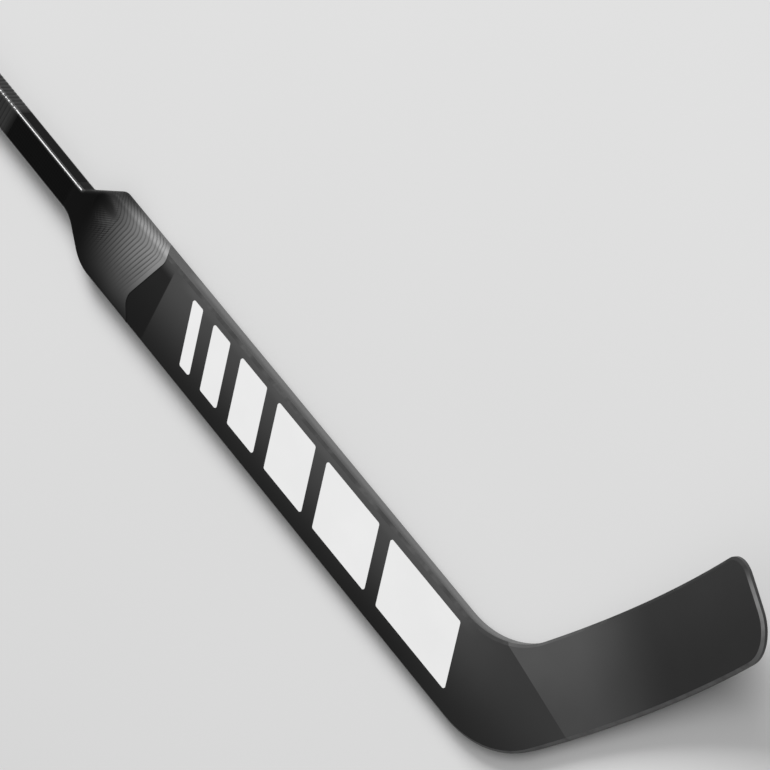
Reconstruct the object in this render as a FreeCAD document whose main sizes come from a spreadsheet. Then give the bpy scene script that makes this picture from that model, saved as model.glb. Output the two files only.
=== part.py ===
"""Ice hockey goalkeeper's stick, built up from a hollow shaft, a laminated paddle and a laminated blade.

Frame: the stick lies on its back. +X runs down the shaft to the heel, +Y runs from the heel to the toe,
+Z is up out of the forehand face. The origin is on the back of the shaft's end, where the paddle begins.
Lengths are in millimetres and angles in degrees.
"""
import FreeCAD
import Part
import Sketcher
import math
import os

V = FreeCAD.Vector
UP = V(0, 0, 1)
doc = FreeCAD.newDocument("goalkeeper_stick")
sheet = doc.addObject("Spreadsheet::Sheet", "Sizes")

SIZES = (
    ("shaft_width", 31.0, "shaft, heel side to toe side"),
    ("shaft_depth", 19.7, "shaft, back to front"),
    ("shaft_corner", 4.0, "rounding of the shaft's long corners"),
    ("shaft_wall", 2.2, "laminate wall of the shaft"),
    ("shaft_length", 790.0, "shaft above the paddle, without the end plug's cap"),
    ("tenon_width", 21.0, "tenon at the shaft's lower end"),
    ("tenon_depth", 11.5, "tenon, back to front"),
    ("tenon_corner", 2.5, "rounding of the tenon's long corners"),
    ("tenon_wall", 2.0, "laminate wall of the tenon"),
    ("tenon_length", 105.0, "tenon inside the paddle"),
    ("neck_length", 16.0, "solid neck of the shaft above the tenon"),
    ("dam_length", 45.0, "foam dam in the bore above the tenon"),
    ("sleeve_start", 100.0, "from the paddle's top to the shaft grip"),
    ("sleeve_length", 330.0, "shaft grip along the shaft"),
    ("sleeve_thickness", 0.9, "shaft grip, let into the shaft"),
    ("sleeve_groove_width", 1.6, "groove across the shaft grip"),
    ("sleeve_groove_depth", 0.45, "groove across the shaft grip"),
    ("sleeve_groove_margin", 9.0, "plain end of the shaft grip"),
    ("sleeve_grooves", 26, "grooves across the shaft grip"),
    ("plug_stem_length", 42.0, "end plug inside the bore"),
    ("plug_cap_length", 7.0, "end plug's cap beyond the shaft"),
    ("plug_cap_chamfer", 2.4, "bevel of the cap's outer rim"),
    ("plug_relief_depth", 0.8, "relief across the front and back of the stem"),
    ("plug_relief_width", 6.0, "relief along the stem"),
    ("plug_relief_pitch", 11.0, "from one relief of the stem to the next"),
    ("plug_reliefs", 3, "reliefs along the stem"),
    ("land", 12.0, "straight start of the paddle before its shoulders"),
    ("paddle_top_width", 86.0, "paddle below its shoulders, heel side to toe side"),
    ("paddle_heel_width", 88.8, "paddle at the heel's corner, heel side to toe side"),
    ("edge_bevel", 2.6, "bevel round the paddle and the blade"),
    ("paddle_length", 694.0, "start of the shoulders to the heel's corner"),
    ("heel_depth", 14.5, "back to front at the heel"),
    ("toe_shoulder_length", 34.2, "shoulder on the toe side, along the shaft"),
    ("heel_shoulder_length", 39.0, "shoulder on the heel side, along the shaft"),
    ("toe_shoulder_round", 13.0, "outer corner of the toe-side shoulder"),
    ("toe_shoulder_root", 7.0, "inner corner of the toe-side shoulder"),
    ("heel_shoulder_round", 46.0, "outer corner of the heel-side shoulder"),
    ("heel_shoulder_root", 33.0, "inner corner of the heel-side shoulder"),
    ("blade_length", 383.0, "heel's corner to toe, along the bottom"),
    ("blade_height", 86.9, "bottom to top of the blade at the toe"),
    ("heel_angle", 123.6, "shaft to the blade's bottom at the heel"),
    ("rocker_radius", 2490.0, "bow of the blade's bottom edge"),
    ("heel_round", 104.0, "rounding of the heel"),
    ("crotch_round", 94.0, "inner corner between paddle and blade"),
    ("toe_lean", 2.5, "angle by which the toe's end leans out at its top"),
    ("toe_top_round", 19.0, "upper corner of the toe"),
    ("toe_bottom_round", 36.5, "lower corner of the toe"),
    ("toe_bow", 0.8, "bulge of the toe's end"),
    ("curve_start", 59.0, "heel's corner to the start of the blade's curve"),
    ("curve_radius", 902.0, "curve of the blade's back"),
    ("toe_depth", 8.9, "back to front at the toe"),
    ("blank_height", 120.0, "block that the form is cut from, above the back face"),
    ("blank_margin", 25.0, "block that the form is cut from, beyond the form"),
    ("skin", 2.0, "front and back laminate skins"),
    ("rim_width", 5.0, "full-depth rim of the edge rails, outside the skins"),
    ("rail_width", 9.0, "edge rails round the cores, with the ledge under the skins"),
    ("seam_top_reach", 64.5, "shaft's middle line to the seam, a blade's height above the heel"),
    ("seam_bottom_reach", 43.3, "shaft's middle line to the seam, beside the heel"),
    ("spine_width", 4.0, "spine along the middle of the paddle"),
    ("heel_block_length", 95.0, "dense block from the heel's corner up the paddle"),
    ("rib_width", 3.5, "rib along the middle of the blade"),
    ("rib_tongue", 22.0, "end of the rib let into the heel block"),
    ("grip_thickness", 1.0, "shoulder grip, let into the paddle"),
    ("grip_toe_length", 130.1, "shoulders' start to the grip's toe-side corner"),
    ("grip_notch_length", 107.0, "shoulders' start to the grip's notch"),
    ("grip_heel_length", 129.0, "shoulders' start to the grip's heel-side end"),
    ("grip_lean", 18.0, "grip's lower edge runs back this far from front to back"),
    ("grip_toe_round", 14.0, "toe-side corner of the grip's lower edge"),
    ("grip_notch_round", 16.0, "notch of the grip's lower edge"),
    ("groove_pitch", 6.4, "from one groove of the shoulder grip to the next"),
    ("groove_width", 1.5, "groove of the shoulder grip"),
    ("groove_depth", 0.5, "groove of the shoulder grip"),
    ("groove_margin", 9.1, "grip's lower edge to its first groove"),
    ("groove_bend", 9.0, "bend of a groove at the toe-side edge"),
    ("groove_count", 10, "grooves of the shoulder grip"),
    ("scoop_radius", 46.0, "finger scoop on the toe-side shoulder"),
    ("scoop_depth", 2.2, "finger scoop below the front face"),
)
for row, (alias, value, words) in enumerate(SIZES, start=1):
    sheet.set("A%d" % row, words)
    sheet.set("B%d" % row, str(value))
    sheet.setAlias("B%d" % row, alias)
doc.recompute()


def size(alias):
    """Value of one driving dimension, read from the sheet."""
    return float(sheet.get(alias))


def cell(alias):
    """The same dimension as it is written in an expression."""
    return "Sizes." + alias


gauge = doc.addObject("App::FeaturePython", "gauge")
gauge.addProperty("App::PropertyFloat", "reading")


def value_of(expression):
    """Number that an expression of the sheet's dimensions comes to, read off a bound property."""
    gauge.setExpression("reading", expression)
    gauge.recompute()
    return gauge.reading


def add_chain(sketch, segments, join="Coincident"):
    """Adds a closed chain of lines and arcs, joined end to end, and returns the index of each segment."""
    indices = []
    ends = []
    for segment in segments:
        if segment[0] == "line":
            index = sketch.addGeometry(Part.LineSegment(segment[1], segment[2]))
            ends.append((index, 1, 2))
        else:
            kind, start, finish, centre = segment
            low, high = (start, finish) if kind == "left" else (finish, start)
            circle = Part.Circle(centre, UP, (start - centre).Length)
            first = math.atan2(low.y - centre.y, low.x - centre.x)
            last = math.atan2(high.y - centre.y, high.x - centre.x)
            index = sketch.addGeometry(Part.ArcOfCircle(circle, first, last))
            ends.append((index, 1, 2) if kind == "left" else (index, 2, 1))
        indices.append(index)
    for here, there in zip(ends, ends[1:] + ends[:1]):
        sketch.addConstraint(Sketcher.Constraint(join, here[0], here[2], there[0], there[1]))
    return indices


def drive(sketch, name, expression, kind, *where):
    """Adds a dimension to a sketch and binds it to an expression of the sheet's sizes."""
    amount = value_of(expression)
    if kind == "Angle":
        amount = math.radians(amount)
    index = sketch.addConstraint(Sketcher.Constraint(kind, *where, amount))
    sketch.renameConstraint(index, name)
    bound = "(%s) * 1 deg" % expression if kind == "Angle" else expression
    sketch.setExpression("Constraints." + name, bound)


half_top = cell("paddle_top_width") + " / 2"
half_heel = cell("paddle_heel_width") + " / 2"
half_shaft = cell("shaft_width") + " / 2"
reach = "2 * " + cell("rail_width")
heel_x = cell("land") + " + " + cell("paddle_length")
heel_turn = "270 - " + cell("heel_angle")
toe_turn = heel_turn + " + " + cell("blade_length") + " / " + cell("rocker_radius") + " * 180 / pi"
top_bow_radius = cell("rocker_radius") + " - " + cell("blade_height")
lean_run = "%s * cos(%s * 1 deg)" % (cell("rocker_radius"), cell("toe_lean"))
lean_off = "%s * sin(%s * 1 deg)" % (cell("rocker_radius"), cell("toe_lean"))
toe_chord = "%s - sqrt((%s) ^ 2 - (%s) ^ 2)" % (lean_run, top_bow_radius, lean_off)
toe_radius = "((%s) ^ 2 / 4 + %s ^ 2) / (2 * %s)" % (toe_chord, cell("toe_bow"), cell("toe_bow"))
lean_turn = toe_turn + " - " + cell("toe_lean")
edge_run = "%s - %s" % (cell("paddle_length"), cell("toe_shoulder_length"))
flare = "atan((%s - %s) / (%s)) / 1 deg" % (half_heel, half_top, edge_run)

shoulder_half = value_of(half_top)
heel_half = value_of(half_heel)
shaft_half = value_of(half_shaft)
heel = V(value_of(heel_x), -heel_half, 0)
rocker = size("rocker_radius")
top_radius = value_of(top_bow_radius)


def ray(angle):
    """Unit vector at an angle from the X axis, in degrees."""
    return V(math.cos(math.radians(angle)), math.sin(math.radians(angle)), 0)


bow_centre = heel + ray(value_of(heel_turn)) * rocker
toe_bottom = bow_centre - ray(value_of(toe_turn)) * rocker
toe_top = toe_bottom + ray(value_of(lean_turn)) * value_of(toe_chord)
toe_along = ray(value_of(lean_turn) - 90)
toe_centre = (toe_bottom + toe_top) / 2 - toe_along * (value_of(toe_radius) - size("toe_bow"))
toe_shoulder = V(size("land") + size("toe_shoulder_length"), shoulder_half, 0)
heel_shoulder = V(size("land") + size("heel_shoulder_length"), -shoulder_half, 0)
toe_root = V(size("land"), shaft_half, 0)
heel_root = V(size("land"), -shaft_half, 0)
top_toe_end = V(-value_of(reach), shaft_half, 0)
top_heel_end = V(-value_of(reach), -shaft_half, 0)
edge_way = ray(value_of(flare))
to_centre = (bow_centre - toe_shoulder).dot(edge_way)
off_centre = (bow_centre - toe_shoulder - edge_way * to_centre).Length
crotch = toe_shoulder + edge_way * (to_centre + math.sqrt(top_radius ** 2 - off_centre ** 2))

# Outline of paddle and blade seen from the front, with its corners still sharp.
SEGMENTS = (
    ("line", top_heel_end, top_toe_end),
    ("line", top_toe_end, toe_root),
    ("line", toe_root, toe_shoulder),
    ("line", toe_shoulder, crotch),
    ("left", crotch, toe_top, bow_centre),
    ("right", toe_top, toe_bottom, toe_centre),
    ("right", toe_bottom, heel, bow_centre),
    ("line", heel, heel_shoulder),
    ("line", heel_shoulder, heel_root),
    ("line", heel_root, top_heel_end),
)
planform = doc.addObject("Sketcher::SketchObject", "planform")
chain = add_chain(planform, SEGMENTS)
end_line, toe_land, toe_slope, toe_edge, top_bow = chain[:5]
toe_end, bottom_bow, heel_edge, heel_slope, heel_land = chain[5:]
heel_radius_line = planform.addGeometry(Part.LineSegment(heel, bow_centre), True)
toe_radius_line = planform.addGeometry(Part.LineSegment(toe_bottom, bow_centre), True)
toe_chord_line = planform.addGeometry(Part.LineSegment(toe_bottom, toe_top), True)
planform.addConstraint(Sketcher.Constraint("Vertical", end_line))
for index in (toe_land, heel_land):
    planform.addConstraint(Sketcher.Constraint("Horizontal", index))
for line, end, curve, middle in (
    (heel_radius_line, 1, heel_edge, 1),
    (heel_radius_line, 2, bottom_bow, 3),
    (toe_radius_line, 1, bottom_bow, 2),
    (toe_radius_line, 2, bottom_bow, 3),
    (top_bow, 3, bottom_bow, 3),
    (toe_chord_line, 1, bottom_bow, 2),
    (toe_chord_line, 2, top_bow, 2),
):
    planform.addConstraint(Sketcher.Constraint("Coincident", line, end, curve, middle))
drive(planform, "end_reach", reach, "DistanceX", toe_land, 1, -1, 1)
drive(planform, "toe_half_shaft", half_shaft, "DistanceY", -1, 1, toe_land, 1)
drive(planform, "heel_half_shaft", half_shaft, "DistanceY", heel_land, 1, -1, 1)
drive(planform, "toe_land_end", cell("land"), "DistanceX", -1, 1, toe_slope, 1)
drive(planform, "heel_land_end", cell("land"), "DistanceX", -1, 1, heel_land, 1)
drive(planform, "toe_slope_run", cell("toe_shoulder_length"), "DistanceX", toe_slope, 1, toe_slope, 2)
drive(planform, "heel_slope_run", cell("heel_shoulder_length"), "DistanceX", heel_slope, 2, heel_slope, 1)
drive(planform, "toe_half_top", half_top, "DistanceY", -1, 1, toe_edge, 1)
drive(planform, "heel_half_top", half_top, "DistanceY", heel_edge, 2, -1, 1)
drive(planform, "toe_flare", flare, "Angle", toe_edge)
drive(planform, "heel_half_paddle", half_heel, "DistanceY", heel_edge, 1, -1, 1)
drive(planform, "heel_corner", heel_x, "DistanceX", -1, 1, heel_edge, 1)
drive(planform, "heel_direction", heel_turn, "Angle", heel_radius_line)
drive(planform, "toe_direction", toe_turn, "Angle", toe_radius_line)
drive(planform, "toe_lean", lean_turn, "Angle", toe_chord_line)
drive(planform, "bottom_radius", cell("rocker_radius"), "Radius", bottom_bow)
drive(planform, "top_radius", top_bow_radius, "Radius", top_bow)
drive(planform, "toe_end_radius", toe_radius, "Radius", toe_end)
doc.recompute()


def extrude(name, base, direction, forward, backward="0"):
    """Straight extrusion of a closed outline, both lengths bound to expressions."""
    solid = doc.addObject("Part::Extrusion", name)
    solid.Base = base
    solid.DirMode = "Custom"
    solid.Dir = direction
    solid.Solid = True
    solid.setExpression("LengthFwd", forward)
    solid.setExpression("LengthRev", backward)
    return solid


def box(name, x, y, z):
    """Block between pairs of expressions on each axis."""
    block = doc.addObject("Part::Box", name)
    for prop, axis, (low, high) in (("Length", "x", x), ("Width", "y", y), ("Height", "z", z)):
        block.setExpression(prop, "(%s) - (%s)" % (high, low))
        block.setExpression("Placement.Base." + axis, low)
    return block


def cut(name, base, tool):
    """First solid less the second."""
    result = doc.addObject("Part::Cut", name)
    result.Base = base
    result.Tool = tool
    return result


def common(name, base, tool):
    """What two solids share."""
    result = doc.addObject("Part::Common", name)
    result.Base = base
    result.Tool = tool
    return result


def fuse(name, base, tool):
    """Two solids joined."""
    result = doc.addObject("Part::Fuse", name)
    result.Base = base
    result.Tool = tool
    return result


# Directions along the blade and down it, taken at the middle of the bottom edge.
middle_turn = heel_turn + " + " + cell("blade_length") + " / 2 / " + cell("rocker_radius") + " * 180 / pi"
along = ray(value_of(middle_turn) - 90)
down = ray(value_of(middle_turn)) * -1
curve_run = cell("blade_length") + " - " + cell("curve_start")
face_slope = "(%s - %s) / (%s)" % (cell("shaft_depth"), cell("heel_depth"), heel_x)
toe_slope_loss = "%s * cos((%s) * 1 deg - 90 deg) * %s" % (cell("blade_length"), middle_turn, face_slope)
thinning = "%s - %s - %s" % (cell("heel_depth"), cell("toe_depth"), toe_slope_loss)
front_radius = "1 / (1 / %s - 2 * (%s) / (%s) ^ 2)" % (cell("curve_radius"), thinning, curve_run)
profile_end = cell("blade_length") + " + 2 * " + cell("blank_margin")


def face_profile(name, radius, side):
    """Long section through one face: flat along the paddle, then a single curve out to the toe."""
    start = V(-size("paddle_length"), 0, 0)
    bend = V(size("curve_start"), 0, 0)
    bow = value_of(radius)
    run = value_of(profile_end) - size("curve_start")
    finish = V(value_of(profile_end), bow - math.sqrt(bow ** 2 - run ** 2), 0)
    edge = side * size("blank_height")
    sketch = doc.addObject("Sketcher::SketchObject", name)
    flat, curve, drop, back, close = add_chain(
        sketch,
        (
            ("line", start, bend),
            ("left", bend, finish, bend + V(0, bow, 0)),
            ("line", finish, V(finish.x, edge, 0)),
            ("line", V(finish.x, edge, 0), V(start.x, edge, 0)),
            ("line", V(start.x, edge, 0), start),
        ),
    )
    sketch.addConstraint(Sketcher.Constraint("PointOnObject", flat, 1, -1))
    sketch.addConstraint(Sketcher.Constraint("Horizontal", flat))
    sketch.addConstraint(Sketcher.Constraint("Horizontal", back))
    sketch.addConstraint(Sketcher.Constraint("Vertical", drop))
    sketch.addConstraint(Sketcher.Constraint("Vertical", close))
    sketch.addConstraint(Sketcher.Constraint("Vertical", curve, 3, flat, 2))
    drive(sketch, "paddle_run", cell("paddle_length"), "DistanceX", flat, 1, -1, 1)
    drive(sketch, "bend_run", cell("curve_start"), "DistanceX", -1, 1, flat, 2)
    drive(sketch, "end_run", profile_end, "DistanceX", -1, 1, drop, 1)
    drive(sketch, "bow_radius", radius, "Radius", curve)
    if side > 0:
        drive(sketch, "edge_height", cell("blank_height"), "DistanceY", -1, 1, back, 1)
    else:
        drive(sketch, "edge_height", cell("blank_height"), "DistanceY", back, 1, -1, 1)
    return sketch


upright = FreeCAD.Rotation(along, UP, down, "XYZ")
tilt = FreeCAD.Rotation(V(0, 1, 0), math.degrees(math.atan(value_of(face_slope))))
back_profile = face_profile("back_profile", cell("curve_radius"), -1)
back_profile.Placement = FreeCAD.Placement(heel, upright)
front_profile = face_profile("front_profile", front_radius, 1)
front_profile.Placement = FreeCAD.Placement(heel + V(0, 0, size("heel_depth")), tilt.multiply(upright))
doc.recompute()


def face_tool(name, profile, shift):
    """Everything beyond one face, the face first moved inwards by an expression."""
    across = profile.Placement.Rotation.multVec(UP)
    tool = extrude(name, profile, across, cell("blade_height"), cell("paddle_length"))
    tool.setExpression("Placement.Base.z", shift)
    return tool


def corner_edges(shape, corners):
    """Numbers of a block's edges that pass through the given corners of its plan, each with its radius."""
    found = []
    for corner, radius in corners:
        spot = Part.Vertex(corner)
        gaps = [(edge.distToShape(spot)[0], number) for number, edge in enumerate(shape.Edges, start=1)]
        found.append((min(gaps)[1], radius, radius))
    return found


def is_wall(face):
    """Whether a face stands upright."""
    first_u, last_u, first_v, last_v = face.ParameterRange
    return abs(face.normalAt((first_u + last_u) / 2, (first_v + last_v) / 2).z) < UPRIGHT_SHARE


def rim_edges(shape, bevel):
    """Edges between the upright walls and the two faces, each with the bevel's width on either side."""
    found = []
    for number, edge in enumerate(shape.Edges, start=1):
        faces = shape.ancestorsOfType(edge, Part.Face)
        if [is_wall(face) for face in faces].count(True) != 1:
            continue
        if all(is_cut_plane(vertex.Point) for vertex in edge.Vertexes):
            continue
        found.append((number, bevel, bevel))
    return found


UPRIGHT_SHARE = 0.05
FINE_SHARE = 0.001
BEVEL_SHARE = 2 - math.sqrt(2)
zone_end = "2 * (%s + %s)" % (cell("land"), cell("grip_toe_length"))


def is_cut_plane(point):
    """Whether a point lies on one of the two planes square to the shaft where a form is cut off."""
    fine = size("skin") * FINE_SHARE
    return abs(point.x) < fine or abs(point.x - value_of(zone_end)) < fine


depth_range = ("-" + cell("blank_height"), cell("blank_height"))
side_range = ("-2 * " + cell("paddle_heel_width"), "2 * " + cell("paddle_heel_width"))
blade_range = ("-" + cell("blade_length"), cell("blade_length"))
above_paddle = box("above_paddle", ("-2 * " + reach, "0"), side_range, depth_range)
below_zone = box("below_zone", (zone_end, "2 * (%s)" % heel_x), blade_range, depth_range)


def meet(first, second, near):
    """Point nearest to a given one where two lines or circles meet.

    A line is a point and a unit vector, a circle is its centre and radius.
    """
    spot, reach_of = first
    other, reach_of_other = second
    if isinstance(reach_of, V) and isinstance(reach_of_other, V):
        across = reach_of.cross(reach_of_other).z
        return spot + reach_of * ((other - spot).cross(reach_of_other).z / across)
    if isinstance(reach_of, V):
        foot = spot + reach_of * (other - spot).dot(reach_of)
        half = reach_of * math.sqrt(reach_of_other ** 2 - (other - foot).Length ** 2)
    elif isinstance(reach_of_other, V):
        return meet(second, first, near)
    else:
        apart = (other - spot).Length
        way = (other - spot) / apart
        along_way = (reach_of ** 2 - reach_of_other ** 2 + apart ** 2) / (2 * apart)
        foot = spot + way * along_way
        half = V(-way.y, way.x, 0) * math.sqrt(reach_of ** 2 - along_way ** 2)
    return min((foot + half, foot - half), key=lambda point: (point - near).Length)


def inset_outline(name, amount):
    """Outline moved inwards: each line and arc is moved, then met with its neighbours again."""
    moved = []
    for kind, start, finish, *centre in SEGMENTS:
        if kind == "line":
            way = (finish - start).normalize()
            moved.append((start + V(way.y, -way.x, 0) * amount, way))
        else:
            radius = (start - centre[0]).Length
            moved.append((centre[0], radius + amount if kind == "left" else radius - amount))
    corners = []
    for index, segment in enumerate(SEGMENTS):
        corners.append(meet(moved[index - 1], moved[index], segment[1]))
    edges = []
    for (spot, way), here, there in zip(moved, corners, corners[1:] + corners[:1]):
        if isinstance(way, V):
            edges.append(Part.makeLine(here, there))
        else:
            outwards = ((here + there) / 2 - spot).normalize()
            edges.append(Part.Arc(here, spot + outwards * way, there).toShape())
    outline = doc.addObject("Part::Feature", name)
    outline.Shape = Part.Wire(edges)
    return outline


def inset_block(name, inset, whole):
    """Upright block inside the outline by an inset, with the plan's corners rounded to suit."""
    amount = value_of(inset)
    outline = inset_outline(name + "_outline", amount) if amount else planform
    blank = extrude(name + "_blank", outline, UP, cell("blank_height"), cell("blank_margin"))
    corners = [
        (toe_root, size("toe_shoulder_root") + amount),
        (toe_shoulder, size("toe_shoulder_round") - amount),
        (heel_shoulder, size("heel_shoulder_round") - amount),
        (heel_root, size("heel_shoulder_root") + amount),
    ]
    if whole:
        corners += [
            (crotch, size("crotch_round") + amount),
            (toe_top, size("toe_top_round") - amount),
            (toe_bottom, size("toe_bottom_round") - amount),
            (heel, size("heel_round") - amount),
        ]
    doc.recompute()
    rounded = doc.addObject("Part::Fillet", name + "_block")
    rounded.Base = blank
    rounded.Edges = corner_edges(blank.Shape, corners)
    return rounded


# Finger scoop on the front of the toe-side shoulder, a shallow piece of a ball.
SCOOP_ALONG_SHARE = 0.95
SCOOP_ACROSS_SHARE = 0.5
scoop_x = "%s + %s * %s" % (cell("land"), cell("toe_shoulder_length"), SCOOP_ALONG_SHARE)
scoop_y = "%s * %s" % (half_top, SCOOP_ACROSS_SHARE)
scoop_floor = "%s - (%s) * (%s) - %s" % (cell("shaft_depth"), scoop_x, face_slope, cell("scoop_depth"))
scoop_z = scoop_floor + " + " + cell("scoop_radius")


def scoop_ball(name, inset):
    """Ball that cuts the finger scoop, grown by an inset."""
    ball = doc.addObject("Part::Sphere", name)
    ball.setExpression("Radius", cell("scoop_radius") + " + " + inset)
    ball.setExpression("Placement.Base.x", scoop_x)
    ball.setExpression("Placement.Base.y", scoop_y)
    ball.setExpression("Placement.Base.z", scoop_z)
    return ball


def inset_form(name, inset, whole):
    """Solid inside the stick's outer surface by an inset, with a bevelled rim at the same inset."""
    block = inset_block(name, inset, whole)
    fronted = cut(name + "_fronted", block, face_tool(name + "_front", front_profile, "-" + inset))
    backed = cut(name + "_backed", fronted, face_tool(name + "_back", back_profile, inset))
    ended = cut(name + "_ended", backed, above_paddle)
    if not whole:
        ended = cut(name + "_zoned", ended, below_zone)
    doc.recompute()
    bevelled = doc.addObject("Part::Chamfer", name + "_bevelled")
    bevelled.Base = ended
    bevelled.Edges = rim_edges(ended.Shape, size("edge_bevel") - value_of(inset) * BEVEL_SHARE)
    return cut(name + "_form", bevelled, scoop_ball(name + "_scoop", inset))


def plan_prism(name, points, direction=UP):
    """Prism on a plan of straight sides along a direction, each corner given as a pair of expressions."""
    spots = [V(value_of(x), value_of(y), 0) for x, y in points]
    sketch = doc.addObject("Sketcher::SketchObject", name + "_plan")
    sides = add_chain(sketch, [("line", here, there) for here, there in zip(spots, spots[1:] + spots[:1])])
    for index, (side, (x, y), spot) in enumerate(zip(sides, points, spots)):
        for axis, expression, amount in (("X", x, spot.x), ("Y", y, spot.y)):
            label = "corner_%d_%s" % (index, axis.lower())
            if amount < 0:
                drive(sketch, label, "-(%s)" % expression, "Distance" + axis, side, 1, -1, 1)
            else:
                drive(sketch, label, expression, "Distance" + axis, -1, 1, side, 1)
    return extrude(name, sketch, direction, cell("blank_height"), cell("blank_margin"))


form = inset_form("outer", "0", True)
grip_floor = inset_form("grip_floor", cell("grip_thickness"), False)
skin_block = inset_block("skins", cell("rim_width"), True)
core_block = inset_block("cores", cell("rail_width"), True)
doc.recompute()

# Shoulder grip: a moulded cover let into the shoulders and the top of the paddle.
GRIP_CORNER_SHARE = 1.1
GRIP_NOTCH_SHARE = -0.55
GRIP_SIDE_SHARE = 0.3
GRIP_OUT_SHARE = 1.1
GRIP_SIDE_OUT_SHARE = 1.3
grip_toe_x = cell("land") + " + " + cell("grip_toe_length")
grip_notch_x = cell("land") + " + " + cell("grip_notch_length")
grip_heel_x = cell("land") + " + " + cell("grip_heel_length")
grip_corner_y = "%s * %s" % (half_top, GRIP_CORNER_SHARE)
grip_notch_y = "%s * %s" % (half_top, GRIP_NOTCH_SHARE)
grip_out_y = "%s * %s" % (half_top, GRIP_OUT_SHARE)
grip_side_y = "%s * %s" % (half_top, GRIP_SIDE_OUT_SHARE)
grip_side_x = "%s + %s * (1 - %s)" % (cell("land"), cell("grip_toe_length"), GRIP_SIDE_SHARE)
lean_back = " - " + cell("grip_lean")
grip_plan = plan_prism("grip_plan", (
    ("-" + cell("land") + lean_back, "-" + cell("paddle_top_width")),
    (grip_heel_x + lean_back, "-" + cell("paddle_top_width")),
    (grip_heel_x + lean_back, "-(%s)" % grip_out_y),
    (grip_notch_x + lean_back, grip_notch_y),
    (grip_toe_x + lean_back, grip_corner_y),
    (grip_side_x + lean_back, grip_side_y),
    (grip_side_x + lean_back, cell("paddle_top_width")),
    ("-" + cell("land") + lean_back, cell("paddle_top_width")),
), V(size("grip_lean"), 0, size("shaft_depth")).normalize())
doc.recompute()
grip_notch = V(value_of(grip_notch_x), value_of(grip_notch_y), 0)
grip_corner = V(value_of(grip_toe_x), value_of(grip_corner_y), 0)
grip_back = V(size("grip_lean"), 0, 0)
grip_zone = doc.addObject("Part::Fillet", "grip_zone")
grip_zone.Base = grip_plan
grip_zone.Edges = corner_edges(grip_plan.Shape, (
    (grip_notch - grip_back, size("grip_notch_round")),
    (grip_corner - grip_back, size("grip_toe_round")),
))
grip_cover = common("grip_cover", form, grip_zone)
grip_shell = cut("grip_shell", grip_cover, grip_floor)

# Grooves of the grip's front: each runs beside the lower edge, bends up at the toe side and runs out there.
GROOVE_BEND_SHARE = 0.72
GROOVE_START_SHARE = -0.42
GROOVE_LIFT_ANGLE = 135.0


def groove_band(bend):
    """Flat band of one groove, bent round at its bend point."""
    lower = grip_corner - grip_notch
    lower.normalize()
    lift = ray(GROOVE_LIFT_ANGLE)
    start = bend - lower * (shoulder_half * (GROOVE_BEND_SHARE - GROOVE_START_SHARE) / lower.y)
    finish = bend + lift * (shoulder_half * (GRIP_OUT_SHARE - GROOVE_BEND_SHARE) / lift.y)
    turn = lower.getAngle(lift)
    tangent = size("groove_bend") * math.tan(turn / 2)
    inward = V(-lower.y, lower.x, 0)
    outward = V(-lift.y, lift.x, 0)
    centre = bend - lower * tangent + inward * size("groove_bend")
    sides = []
    for half in (size("groove_width") / 2, -size("groove_width") / 2):
        radius = size("groove_bend") - half
        first = centre - inward * radius
        last = centre - outward * radius
        middle = centre - (inward + outward).normalize() * radius
        sides.append((start + inward * half, first, middle, last, finish + outward * half))
    near, far = sides
    edges = [
        Part.makeLine(near[0], near[1]),
        Part.Arc(near[1], near[2], near[3]).toShape(),
        Part.makeLine(near[3], near[4]),
        Part.makeLine(near[4], far[4]),
        Part.makeLine(far[4], far[3]),
        Part.Arc(far[3], far[2], far[1]).toShape(),
        Part.makeLine(far[1], far[0]),
        Part.makeLine(far[0], near[0]),
    ]
    return Part.Face(Part.Wire(edges))


bands = []
for index in range(int(size("groove_count"))):
    back = size("groove_margin") + index * size("groove_pitch")
    band = groove_band(V(grip_corner.x - back, shoulder_half * GROOVE_BEND_SHARE, 0))
    bands.append(band.extrude(UP * size("blank_height")))
groove_bands = doc.addObject("Part::Feature", "groove_bands")
groove_bands.Shape = Part.makeCompound(bands)
groove_floor = face_tool("groove_floor", front_profile, "-" + cell("groove_depth"))
shoulder_grip = cut("shoulder_grip", grip_shell, common("grooves", groove_bands, groove_floor))

# Laminate under the grip. The same faces moved inwards cut the skins, which lie on a ledge of the rails.
laminate = cut("laminate", form, grip_shell)
skin_front = fuse(
    "skin_front",
    face_tool("skin_front_face", front_profile, "-" + cell("skin")),
    scoop_ball("skin_scoop", cell("skin")),
)
skin_back = face_tool("skin_back", back_profile, cell("skin"))
skinned = common("skinned", laminate, skin_block)
front_layer = common("front_layer", skinned, skin_front)
back_layer = common("back_layer", skinned, skin_back)
middle = cut("middle", cut("fronted_laminate", laminate, front_layer), back_layer)

# Seam between paddle and blade, from the crotch to the bottom edge.
SEAM_RUN_SHARE = 0.6
seam_top_x = "%s - %s" % (heel_x, cell("blade_height"))
seam_bottom_x = "%s + %s * %s" % (heel_x, cell("blade_height"), SEAM_RUN_SHARE)
seam_top_y = cell("seam_top_reach")
seam_bottom_y = cell("seam_bottom_reach")


def beyond_seam(name, shift):
    """Everything on the blade's side of the seam, the seam first moved to the heel side by a shift."""
    return plan_prism(name, (
        (seam_top_x, "%s - %s" % (seam_top_y, shift)),
        (seam_bottom_x, "%s - %s" % (seam_bottom_y, shift)),
        ("%s + %s" % (heel_x, cell("blade_length")), "%s - %s" % (seam_bottom_y, shift)),
        ("%s + %s" % (heel_x, cell("blade_length")), cell("blade_length") + " * 2"),
        (seam_top_x, cell("blade_length") + " * 2"),
    ))


blade_side = beyond_seam("blade_side", "0")
tongue_side = beyond_seam("tongue_side", cell("rib_tongue"))


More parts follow.
